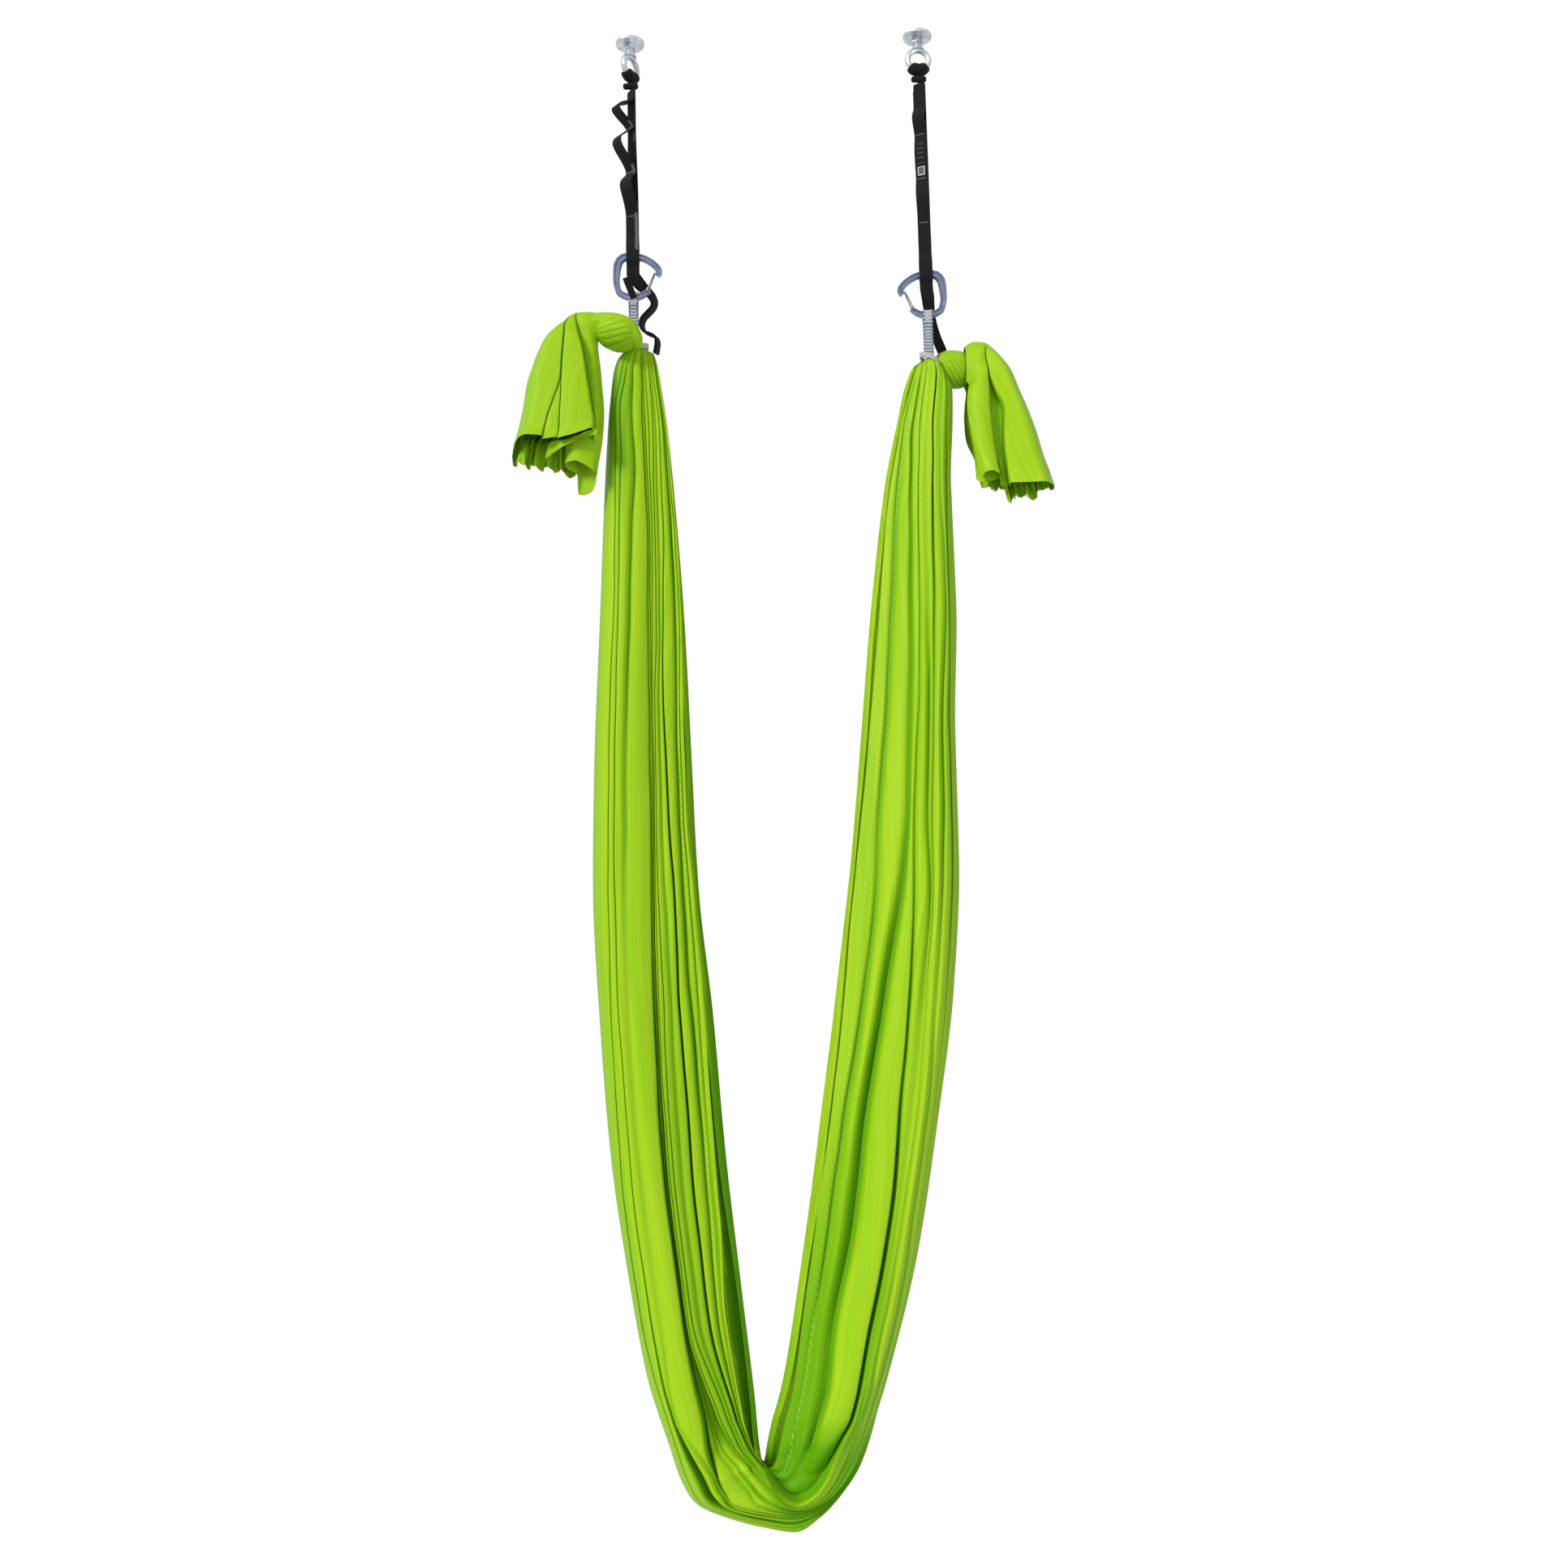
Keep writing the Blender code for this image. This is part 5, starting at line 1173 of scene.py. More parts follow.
@dataclass
class Tail:
    """Loose end of the silk, arched over its knot and open at a ruffled hem."""

    side: SideSizes
    finish: Dress
    # Outer and inner ends of each row, across and up, from the knot to the hem
    edges: Table
    # Places of the front folds at each row, from the outer to the inner edge
    guides: Table
    fold_depths: tuple[float, ...]
    sinks: tuple[float, ...]
    bulges: tuple[float, ...]
    depths: tuple[float, ...]
    depth_place: float
    # Row at which the cloth ends, at shares from the outer to the inner edge
    front_hem: Table
    back_hem: Table
    seed: int
    flat: Pair = (0.85, 0.30)
    row_count: int = 110
    pleats: int = 12
    pleat_depth: float = 0.052
    ruffle: float = 0.10
    # How much shallower the pleats are at the hem
    hem_calm: float = 0.72
    back_reach: float = 0.95
    close_turn: float = 1.0
    # How far the back of the hem is drawn inwards
    gather: float = 0.056
    # How much less the inner part of the back is drawn inwards
    inner_calm: float = 0.45
    front_mouth: float = 0.0022
    back_mouth: float = 0.0050
    flare: float = 0.0035
    crumple: float = 0.0030

    def build(self) -> Piece:
        """Make the cloth and give it its finish."""
        edges = np.array(self.edges)
        last = len(edges) - 1
        keys = np.arange(last + 1, dtype=float)
        key = np.linspace(0, last, self.row_count)
        table = smooth_columns(keys, edges, key)
        place = np.full(len(key), self.depth_place)
        outer = np.stack([table[:, 0], place, table[:, 1]], axis=1)
        inner = np.stack([table[:, 2], place, table[:, 3]], axis=1)
        depth = smooth_columns(keys, self.depths, key)[:, 0]
        section = Section(outer, inner, depth, depth, 0.92, 0.80, close=0.10,
                          close_turn=self.close_turn)
        guides = smooth_columns(keys, self.guides, key)
        guides = np.maximum.accumulate(guides + np.arange(guides.shape[1]) * 0.001, axis=1)
        width = np.linalg.norm(inner - outer, axis=1)
        grow = ease((key - 1.0) / 5.0)
        self.add_front(section, guides, grow, width, key)
        front_columns = len(section.shares)
        self.add_back(section, key, grow, width)
        points, crease_shade = section.points()
        along = np.concatenate([[0.0], np.cumsum(np.linalg.norm(np.diff(
            outer * 0.5 + inner * 0.5, axis=0), axis=1))])
        columns = np.arange(points.shape[1])
        # Painted fold shade, more on the front layer than on the back layer
        crease_shade = crease_shade * np.where(columns < front_columns, 0.6, 0.12)
        along = np.repeat(along[:, None], points.shape[1], axis=1)
        grid = np.concatenate([points, crease_shade[:, :, None], along[:, :, None]], axis=2)
        grid = self.cut_hem(grid, section.shares, front_columns)
        points, crease_shade, along = grid[:, :, :3], grid[:, :, 3], grid[:, :, 4]
        places = np.array([share[-1] for share in section.shares])
        points = self.curl_hem(points, key, front_columns, places)
        uv = cloth_uv(points, along[:, 0], front_columns)
        uv[:, :, 1] = along
        piece = grid_mesh(f"silk_end_{self.side.name}", points, uv,
                          {"crease_shade": crease_shade, "edge": np.ones(crease_shade.shape)})
        self.finish.put(piece, f"silk_tail_{self.side.name}")
        return piece

    def add_front(self, section: Section, guides: Array, grow: Array, width: Array,
                  key: Array) -> None:
        """Add the front layer, from its inner end to the outer edge."""
        count = guides.shape[1]
        edges = [np.zeros(len(width))] + [guides[:, number] for number in range(count)]
        for band in range(count, 0, -1):
            low, high = edges[band - 1], edges[band]
            half = self.front_mouth / width / 2
            room = (high - low) * 0.45
            start = high - (np.minimum(half, room) if band < count else 0)
            stop = low + (np.minimum(half, room) if band > 1 else 0)
            sink = self.sinks[band - 1] * grow
            section.band(start, stop, sink, self.bulges[band - 1], Face.FRONT, BAND_STEPS)
            if band > 1:
                below = low - np.minimum(half, (low - edges[band - 2]) * 0.45)
                deep = self.fold_depths[band - 2] * grow * (1 + 0.2 * waves(
                    key * 0.1, self.seed + band, 0.9))
                section.groove(stop, below, low, sink, self.sinks[band - 2] * grow, deep,
                               Face.FRONT)

    def add_back(self, section: Section, key: Array, grow: Array, width: Array) -> None:
        """Add the pleated back layer."""
        guides = [np.zeros(len(key))]
        for number in range(1, self.pleats + 1):
            sway = 0.018 * waves(key * 0.1, self.seed + 30 + number, 1.3)
            guides.append(self.back_reach * number / (self.pleats + 1) + sway * grow)
        guides.append(np.full(len(key), self.back_reach))
        flat = np.zeros(len(key))
        shallow = 1 - self.hem_calm * ease((key / key[-1] - 0.62) / 0.20)
        half = self.back_mouth / width / 2
        for band in range(1, self.pleats + 2):
            start = guides[band - 1] + (half if band > 1 else 0)
            stop = guides[band] - (half if band <= self.pleats else 0)
            section.band(start, stop, flat, 0.24, Face.BACK, BAND_STEPS)
            if band <= self.pleats:
                swing = math.sin(2.4 * band + self.seed)
                deep = self.pleat_depth * (0.80 + 0.20 * swing) * grow * shallow
                section.groove(stop, guides[band] + half, guides[band] + swing * half * 1.5,
                               flat, flat, deep, Face.BACK)

    def cut_hem(self, grid: Array, shares: list[Array], front_columns: int) -> Array:
        """End every column of the cloth at its own row of the hem."""
        rows, columns = grid.shape[:2]
        places = np.array([share[-1] for share in shares])
        number = np.arange(columns)
        front = np.interp(places, *zip(*self.front_hem))
        wander = self.ruffle * (np.sin(number * 0.27 + self.seed)
                                + 0.6 * np.sin(number * 0.117 + 2 * self.seed))
        back = np.interp(places, *zip(*self.back_hem)) + wander * ease(places / 0.12)
        ends = np.where(number < front_columns, front, back)
        last = len(self.edges) - 1
        reach = np.clip(ends / last, 0, 1) * (rows - 1)
        spot = np.linspace(0, 1, rows)[:, None] * reach[None, :]
        low = np.minimum(spot.astype(int), rows - 2)
        share = (spot - low)[:, :, None]
        column = np.broadcast_to(number, spot.shape)
        return grid[low, column] * (1 - share) + grid[low + 1, column] * share

    def curl_hem(self, points: Array, key: Array, front_columns: int, places: Array) -> Array:
        """Turn the front of the hem slightly outwards and bring the crumpled back forwards."""
        last = key[-1]
        number = np.arange(points.shape[1])[None, :]
        is_front = number < front_columns
        near = ease((key - last * 0.93) / (last * 0.07))[:, None]
        flare = -self.flare * near * (1 + 0.5 * np.sin(number * 0.21))
        fall = ease((key - last * 0.5) / (last * 0.5))[:, None]
        crumple = self.crumple * fall * np.sin(number * 0.33 + 2.2 * key[:, None] + self.seed)
        inward = ease((key - last * 0.70) / (last * 0.24))[:, None] * ease(places / 0.12)
        inward *= 1 - self.inner_calm * ease((places - 0.58) / 0.12)
        points[:, :, 1] += np.where(is_front, flare, crumple - self.gather * inward)
        points[:, :, 0] += np.where(is_front, 0.0, crumple * 0.8)
        return points


@dataclass
class HemFold:
    """Short turned fold of silk that hangs out of a tail's hem."""

    name: str
    finish: Dress
    # Top and foot across, depth, top and foot level of each guide along the cloth's edge
    guides: Table
    flat: Pair
    rests_on: str
    # Even painted shade over the whole fold
    tone: float = 0.0
    columns: int = 96
    rows: int = 22
    swell: float = 0.0016
    curl: float = 0.0020

    def build(self) -> Piece:
        """Make the fold and give it its finish."""
        keys = np.arange(len(self.guides), dtype=float)
        places = np.linspace(0, keys[-1], self.columns)
        table = smooth_columns(keys, self.guides, places)
        down = np.linspace(0, 1, self.rows)[:, None]
        level = table[:, 3] + (table[:, 4] - table[:, 3]) * down
        across = table[:, 0] + (table[:, 1] - table[:, 0]) * down
        swell = self.swell * np.sin(math.pi * down) * np.sin(places * 1.7)
        depth = table[:, 2] + swell - self.curl * down ** 3
        points = np.stack([across, depth, level], axis=2)
        uv = cloth_uv(points, (down * (table[:, 3] - table[:, 4]).mean())[:, 0])
        # Even painted shade over the whole fold
        tone = np.full(points.shape[:2], self.tone)
        piece = grid_mesh(self.name, points, uv, {"crease_shade": tone, "edge": np.ones(tone.shape)})
        self.finish.put(piece)
        return piece


@dataclass
class Knot:
    """Tied lobe of silk beside the neck, with wraps that spiral round it."""

    side: SideSizes
    finish: Dress
    centre: Triple
    half_size: Triple
    tilt: float
    ridges: int
    spiral: float
    seed: int
    pear: float = 0.0
    roundness: float = 0.82
    rings: int = 84
    steps: int = 220

    def build(self) -> Piece:
        """Make the knot and give it its finish."""
        lean = np.linspace(0.0, math.pi, self.rings)[:, None]
        turn = np.linspace(0, 2 * math.pi, self.steps, endpoint=False)[None, :]
        body = np.sin(lean) ** self.roundness
        phase = self.ridges * (turn + self.spiral * (lean - math.pi / 2)) + 0.8 * np.sin(
            3 * turn + self.seed)
        ridge = np.abs(np.sin(phase / 2)) ** 0.40
        fine = np.sin(phase * 3 + 2 * np.sin(2 * turn)) * 0.5 + 0.5
        fold = 1 - 0.050 * (1 - ridge) * body - 0.020 * fine * body
        lump = 1 + 0.05 * np.sin(2 * turn + self.seed + lean) * body
        pear = 1 + self.pear * np.cos(lean)
        radius = body * fold * lump * pear
        x = self.half_size[0] * np.cos(lean) * np.ones_like(turn)
        y = self.half_size[1] * radius * np.cos(turn)
        z = self.half_size[2] * radius * np.sin(turn)
        cos, sin = math.cos(self.tilt), math.sin(self.tilt)
        points = np.stack([self.centre[0] + x * cos - z * sin, self.centre[1] + y,
                           self.centre[2] + x * sin + z * cos], axis=2)
        # Painted shade in the grooves between the wraps
        crease_shade = np.broadcast_to((1 - ridge) * body, radius.shape)
        uv = np.stack(np.broadcast_arrays(turn * self.half_size[2], lean * self.half_size[0]),
                      axis=2)
        piece = grid_mesh(f"knot_{self.side.name}", points, uv,
                          {"crease_shade": crease_shade, "edge": np.ones(radius.shape)}, closed=True)
        close_poles(piece)
        self.finish.put(piece, f"silk_knot_{self.side.name}")
        return piece


@dataclass
class WrapBand:
    """Flattened turn of gathered silk that crosses a knot."""

    finish: Dress
    path: Table
    half_width: float
    half_height: float
    name: str
    parts: int = 9
    steps: int = 60

    def build(self) -> Piece:
        """Make the turn and give it its finish."""
        path = smooth_path([Vector(point) for point in self.path], self.parts)
        tangents = path_tangents(path)
        rows = []
        for index, (place, tangent) in enumerate(zip(path, tangents)):
            share = index / (len(path) - 1)
            taper = abs(math.sin(math.pi * share)) ** 0.30
            outward = Vector((0, -1, 0.35))
            outward = (outward - tangent * outward.dot(tangent)).normalized()
            across = tangent.cross(outward).normalized()
            row = []
            for step in range(self.steps):
                turn = 2 * math.pi * step / self.steps
                ridge = abs(math.sin(4.5 * turn + 1.2 * math.sin(5 * share))) ** 0.5
                radius = (1 - 0.12 * (1 - ridge)) * taper
                row.append(place + across * self.half_width * radius * math.cos(turn)
                           + outward * self.half_height * radius * math.sin(turn))
            rows.append(row)
        points = np.array(rows)
        shape = points.shape[:2]
        uv = np.stack(np.meshgrid(np.linspace(0, 0.08, shape[1]),
                                  np.linspace(0, 0.12, shape[0])), axis=2)
        piece = grid_mesh(self.name, points, uv, {"crease_shade": np.zeros(shape),
                                                  "edge": np.ones(shape)}, closed=True)
        close_poles(piece)
        self.finish.put(piece)
        return piece


def close_poles(piece: Piece) -> None:
    """Merge the doubled points at a piece's poles and turn its faces outwards."""
    data = bmesh.new()
    data.from_mesh(piece.data)
    bmesh.ops.remove_doubles(data, verts=data.verts, dist=0.00002)
    bmesh.ops.holes_fill(data, edges=[edge for edge in data.edges if edge.is_boundary])
    bmesh.ops.recalc_face_normals(data, faces=data.faces)
    data.to_mesh(piece.data)
    data.free()
    piece.data.shade_smooth()


def ring_mesh(name: str, rows: Sequence, places: Sequence) -> Piece:
    """Make a smooth closed body from rings of points and their pattern places."""
    piece = grid_mesh(name, np.array(rows), np.array(places), {}, closed=True)
    close_poles(piece)
    return piece


@dataclass(frozen=True)
class Station:
    """One cross-section of a strap: its middle, its axes and its half sizes."""

    middle: Vector
    across: Vector
    normal: Vector
    half_width: float
    half_thickness: float


# Least angle between faces that shows as a sharp selvedge
SELVEDGE_ANGLE = math.radians(62)
# Share of the half width and of the half thickness along one face
STRAP_PROFILE = ((-1.0, 0.30), (-0.965, 0.85), (-0.86, 1.0), (-0.45, 0.96), (0.0, 0.98),
                 (0.45, 0.96), (0.86, 1.0), (0.965, 0.85), (1.0, 0.30))


def strap_mesh(name: str, stations: Sequence[Station], closed: bool = False) -> Piece:
    """Make a woven strap with rounded selvedges along its stations.

    Args:
        name: Name of the piece.
        stations: Cross-sections along the strap.
        closed: Whether the last station joins the first.

    Returns:
        The new object.
    """
    rows, places, length = [], [], 0.0
    stations = list(stations) + ([stations[0]] if closed else [])
    for index, station in enumerate(stations):
        if index:
            length += (station.middle - stations[index - 1].middle).length
        row, uv = [], []
        for sign in (1, -1):
            for share, height in STRAP_PROFILE[::sign]:
                row.append(station.middle + station.across * station.half_width * share
                           + station.normal * station.half_thickness * height * sign)
                uv.append((station.half_width * share, length))
        rows.append(row)
        places.append(uv)
    piece = ring_mesh(name, rows, places)
    piece.data.set_sharp_from_angle(angle=SELVEDGE_ANGLE)
    return piece


TAPE_PROFILE = ((-1.0, 0.3), (-0.96, 0.9), (-0.7, 1.0), (-0.35, 1.0), (0.0, 1.0), (0.35, 1.0),
                (0.7, 1.0), (0.96, 0.9), (1.0, 0.3))

# Height over the sway pivot and share of the half width at the strap's top, low enough to
# pass under the hitch as it sways
STRAP_TOP = ((0.0103, 0.30), (0.0101, 0.52), (0.0097, 0.72), (0.0091, 0.90), (0.0084, 0.98),
             (0.0070, 1.0), (0.0040, 1.0))


@dataclass
class DaisyChain:
    """Webbing strap sewn into pockets, hung from its anchor and clipped to the carabiner."""

    side: SideSizes
    webbing: Dress
    anchor_webbing: Dress
    choke_webbing: Dress
    thread: Dress
    tag: Optional[Dress] = None
    width: float = 0.021
    thickness: float = 0.0024
    tack_pitch: float = 0.077
    tack_length: float = 0.018
    tack_height: float = 0.0045
    tack_relief: float = 0.0006
    stitches: int = 13
    sewn_row_size: Pair = (0.011, 0.0016)
    yarn_inset: float = 0.0034
    yarn_size: Pair = (0.0052, 0.0004)
    slack_length: float = 0.048
    pocket_bulge: float = 0.030
    carabiner_height: float = 0.0711
    bar_width: float = 0.0104
    bar_thickness: float = 0.0096
    clearance: float = 0.0005
    wrap_radius: float = 0.0080
    wrap_reach: float = 0.80
    wrap_taper: float = 0.0012
    wrap_ridge: float = 0.0007
    eye_radius: float = 0.0175
    choke_radius: float = 0.0058
    choke_length: float = 0.025
    tag_size: Pair = (0.012, 0.015)
    tag_level: float = -0.240
    tag_lift: float = 0.0012
    tag_bow: float = 0.0006
    tag_thickness: float = 0.0008
    level_step: float = 0.0026

    @property
    def arm_level(self) -> float:
        """Level of the middle of the carabiner's top arm."""
        return -self.side.basket_drop + self.carabiner_height

    @property
    def last_tack(self) -> float:
        """Level of the tack under the carabiner's top arm."""
        return self.arm_level - self.bar_width / 2 - self.clearance - self.width * 0.85

    def tack_levels(self) -> list[float]:
        """Levels of the sewn tacks."""
        levels = [self.side.first_tack - self.tack_pitch * number for number in range(3)]
        return levels + [self.last_tack]

    def arm_spread(self, level: float) -> float:
        """How far a layer stands off the middle to pass round the top arm."""
        reach = self.arm_level - self.last_tack - self.tack_height
        if level > self.arm_level:
            reach = self.tack_pitch / 2
        near = 1 - abs(level - self.arm_level) / reach
        return (self.bar_thickness / 2 + self.clearance) * ease_value(near * 1.7)

    def pocket_spread(self, level: float) -> float:
        """How far the pocket layer bulges off the backbone."""
        levels = self.tack_levels()
        tops = [self.side.first_tack + self.slack_length] + levels[:2]
        for top, foot, bulge in zip(tops, levels, self.side.bulge_shares):
            if foot < level < top:
                share = (top - level) / (top - foot)
                return self.pocket_bulge * bulge * math.sin(math.pi * share ** 0.85) ** 1.6
        return 0.0

    def station(self, level: float, face: Face, half_width: float) -> Station:
        """Cross-section of the backbone or of the pocket layer at a level."""
        share = (self.side.first_tack - level) / (
            self.side.first_tack - self.arm_level - self.width)
        turn = self.side.twist_top * (1 - ease_value(share))
        across = Vector((math.cos(turn), self.side.sign * math.sin(turn), 0))
        normal = Vector((-across.y, across.x, 0)) * face.value
        spread = (self.thickness + TOUCH_GAP) / 2 + self.arm_spread(level)
        if face is Face.FRONT:
            spread += self.pocket_spread(level)
        middle = self.side.centre(level) + normal * spread
        return Station(middle, across, normal, half_width, self.thickness / 2)

    def levels(self, top: float) -> list[float]:
        """Even levels from a top down to the foot of the last tack."""
        foot = self.last_tack - self.tack_height / 2
        count = int((top - foot) / self.level_step)
        return [top + (foot - top) * number / count for number in range(count + 1)]

    def build(self) -> None:
        """Make every piece of the strap."""
        name, half = self.side.name, self.width / 2
        stations = []
        for lift, share in STRAP_TOP:
            stations.append(self.station(SWAY_LEVEL + lift, Face.BACK, half * share))
        stations += [self.station(level, Face.BACK, half) for level in self.levels(SWAY_LEVEL)]
        self.webbing.put(strap_mesh(f"backbone_webbing_{name}", stations),
                         f"daisy_backbone_{name}")
        top = SWAY_LEVEL - self.tack_height
        stations = [self.station(level, Face.FRONT, half) for level in self.levels(top)]
        self.webbing.put(strap_mesh(f"pocket_webbing_{name}", stations),
                         f"daisy_pockets_{name}")
        for number, level in enumerate(self.tack_levels(), 1):
            self.build_tack(number, level)
        self.build_marks()
        self.build_end()
        self.build_wrap()
        self.build_choke()
        if self.tag is not None:
            self.build_tag()

    def build_tack(self, number: int, level: float) -> None:
        """Bar tack of close thread, seen on the back of the strap and above the carabiner too."""
        name = f"{self.side.name}_{number}"
        piece = self.thread_row(f"bar_tack_{name}", level, Face.BACK, self.tack_length,
                                self.tack_height)
        self.thread.put(piece, f"daisy_tack_{name}")
        if level > self.arm_level:
            piece = self.thread_row(f"front_tack_{name}", level, Face.FRONT,
                                    self.tack_length * 0.8, self.tack_height * 0.5)
            self.thread.put(piece, f"daisy_tack_{name}")

    def thread_row(self, name: str, level: float, face: Face, length: float, height: float
                   ) -> Piece:
        """One raised row of close thread across the strap.

        Args:
            name: Name of the piece.
            level: Level of the row.
            face: Side of the strap that it lies on.
            length: Length of the row across the strap.
            height: Height of the row.

        Returns:
            The row, without its finish.
        """
        station = self.station(level, face, self.width / 2)
        base = station.middle + station.normal * (station.half_thickness + TOUCH_GAP)
        stations = []
        count = self.stitches * 4
        for index in range(count + 1):
            share = index / count
            rise = 0.45 + 0.55 * abs(math.sin(math.pi * self.stitches * share))
            middle = base + station.across * length * (share - 0.5)
            middle += station.normal * self.tack_relief * rise / 2
            stations.append(Station(middle, Vector((0, 0, 1)), station.normal,
                                    height / 2, self.tack_relief * rise / 2))
        return strap_mesh(name, stations)

    def build_marks(self) -> None:
        """Sewn block of five rows on the right strap, pale edge yarns on the left one."""
        for number, level in enumerate(self.side.row_levels, 1):
            self.thread.put(self.thread_row(f"sewn_row_{self.side.name}_{number}", level,
                                            Face.FRONT, *self.sewn_row_size))
        half, lift = self.yarn_size[0] / 2, self.yarn_size[1] / 2
        for number, (top, foot, face) in enumerate(self.side.edge_yarns, 1):
            stations = []
            for index in range(25):
                station = self.station(top + (foot - top) * index / 24, face, self.width / 2)
                toward = station.normal * -face.value
                middle = station.middle + station.across * (self.width / 2 - self.yarn_inset)
                middle += toward * (station.half_thickness + lift)
                stations.append(Station(middle, station.across, toward, half, lift))
            self.thread.put(strap_mesh(f"edge_yarn_{self.side.name}_{number}", stations))

    def build_end(self) -> None:
        """Spare end of the strap, both layers together, behind the sling."""
        side = self.side
        start = side.centre(self.last_tack - self.tack_height / 2 - TOUCH_GAP)
        first = Vector(side.end_shares[0])
        path = smooth_path([start + side.end_length * (Vector(row) - first)
                            for row in side.end_shares], 8)
        tangents = path_tangents(path)
        for index in range(4):
            tangents[index] = Vector((0, 0, -1))
        for face in Face:
            stations = []
            for index, (place, tangent) in enumerate(zip(path, tangents)):
                share = ease_value(2.2 * (index / 8 * 3 - 2) / (len(path) / 8 * 3))
                turn = share * side.end_turn
                across = Vector((math.cos(turn), math.sin(turn), 0))
                across = (across - tangent * across.dot(tangent)).normalized()
                normal = tangent.cross(across).normalized() * face.value
                stations.append(Station(place + normal * self.thickness * 0.51, across, normal,
                                        self.width / 2 * (1 - 0.25 * share),
                                        self.thickness / 2 * 0.97))
            piece = strap_mesh(f"spare_webbing_{face.name.lower()}_{side.name}", stations)
            self.webbing.put(piece, f"daisy_end_{side.name}")

    def build_wrap(self) -> None:
        """Bunched turns of webbing round the eye's lowest bar, bent along with the bar."""
        spin = Matrix.Rotation(self.side.eye_turn, 3, "Z")
        axis = spin @ Vector((0, 1, 0))
        centre = self.side.centre(EYE_BAR_LEVEL + self.eye_radius)
        steps, count = 40, 28
        shell = [(number / count, 0.0) for number in range(count + 1)]
        shell += [(1 - number / count, self.thickness) for number in range(count + 1)]
        rows, places = [], []
        for share, depth in shell + shell[:1]:
            bend = (2 * share - 1) * self.wrap_reach
            radial = spin @ Vector((math.sin(bend), 0, -math.cos(bend)))
            ring, uv = [], []
            for step in range(steps):
                turn = 2 * math.pi * step / steps
                radius = self.wrap_radius + self.thickness - depth
                radius -= self.wrap_taper * abs(2 * share - 1) ** 2.2
                if not depth:
                    ridge = abs(math.cos(math.pi * 2 * share + 0.35 * math.sin(turn)))
                    radius -= self.wrap_ridge * ridge ** 6
                point = centre + radial * self.eye_radius
                point += (axis * math.cos(turn) + radial * math.sin(turn)) * radius
                ring.append(tuple(point))
                uv.append((bend * self.eye_radius, turn * radius))
            rows.append(ring)
            places.append(uv)
        piece = ring_mesh(f"eye_webbing_{self.side.name}", rows, places)
        self.anchor_webbing.put(piece, f"eye_wrap_{self.side.name}")

    def build_choke(self) -> None:
        """Hitched roll of webbing under the eye, with its bunched turns."""
        side = self.side
        rows, places = [], []
        steps, count = 48, 60
        for row in range(count + 1):
            share = row / count
            along = (share - 0.5) * self.choke_length
            end = min(share, 1 - share) * count
            round_end = min(1.0, 0.55 + 0.45 * math.sqrt(min(end / 3, 1.0)))
            round_end *= 1 - 0.28 * abs(2 * share - 1) ** 2.5
            groove = 1 - 0.10 * abs(math.cos(math.pi * share * 3)) ** 6
            ring, uv = [], []
            for step in range(steps):
                turn = 2 * math.pi * step / steps
                radius = self.choke_radius * round_end * groove
                radius *= 1 - 0.05 * abs(math.sin(2 * turn + 3 * share))
                ring.append((side.centre().x + along, radius * math.cos(turn),
                             SWING_LEVEL + radius * math.sin(turn)))
                uv.append((along, turn * self.choke_radius))
            rows.append(ring)
            places.append(uv)
        piece = ring_mesh(f"choke_webbing_{side.name}", rows, places)
        self.choke_webbing.put(piece, f"choke_{side.name}")

    def build_tag(self) -> None:
        """Bare tag on the pocket layer."""
        station = self.station(self.tag_level, Face.FRONT, self.width / 2)
        lift = station.half_thickness + self.tag_lift
        stations = []
        for index in range(17):
            share = index / 16 - 0.5
            middle = station.middle + station.normal * (lift + self.tag_bow * math.cos(4 * share))
            middle += Vector((0, 0, -self.tag_size[1] * share))
            stations.append(Station(middle, station.across, station.normal,
                                    self.tag_size[0] / 2, self.tag_thickness / 2))
        piece = strap_mesh("strap_tag_right", stations)
        centre_tag(piece, self.tag_size[1])
        self.tag.put(piece, "daisy_tag_right")


def centre_tag(piece: Piece, height: float) -> None:
    """Put the origin of a tag's pattern in its middle."""
    for item in piece.data.uv_layers["cloth"].data:
        item.uv[1] -= height / 2


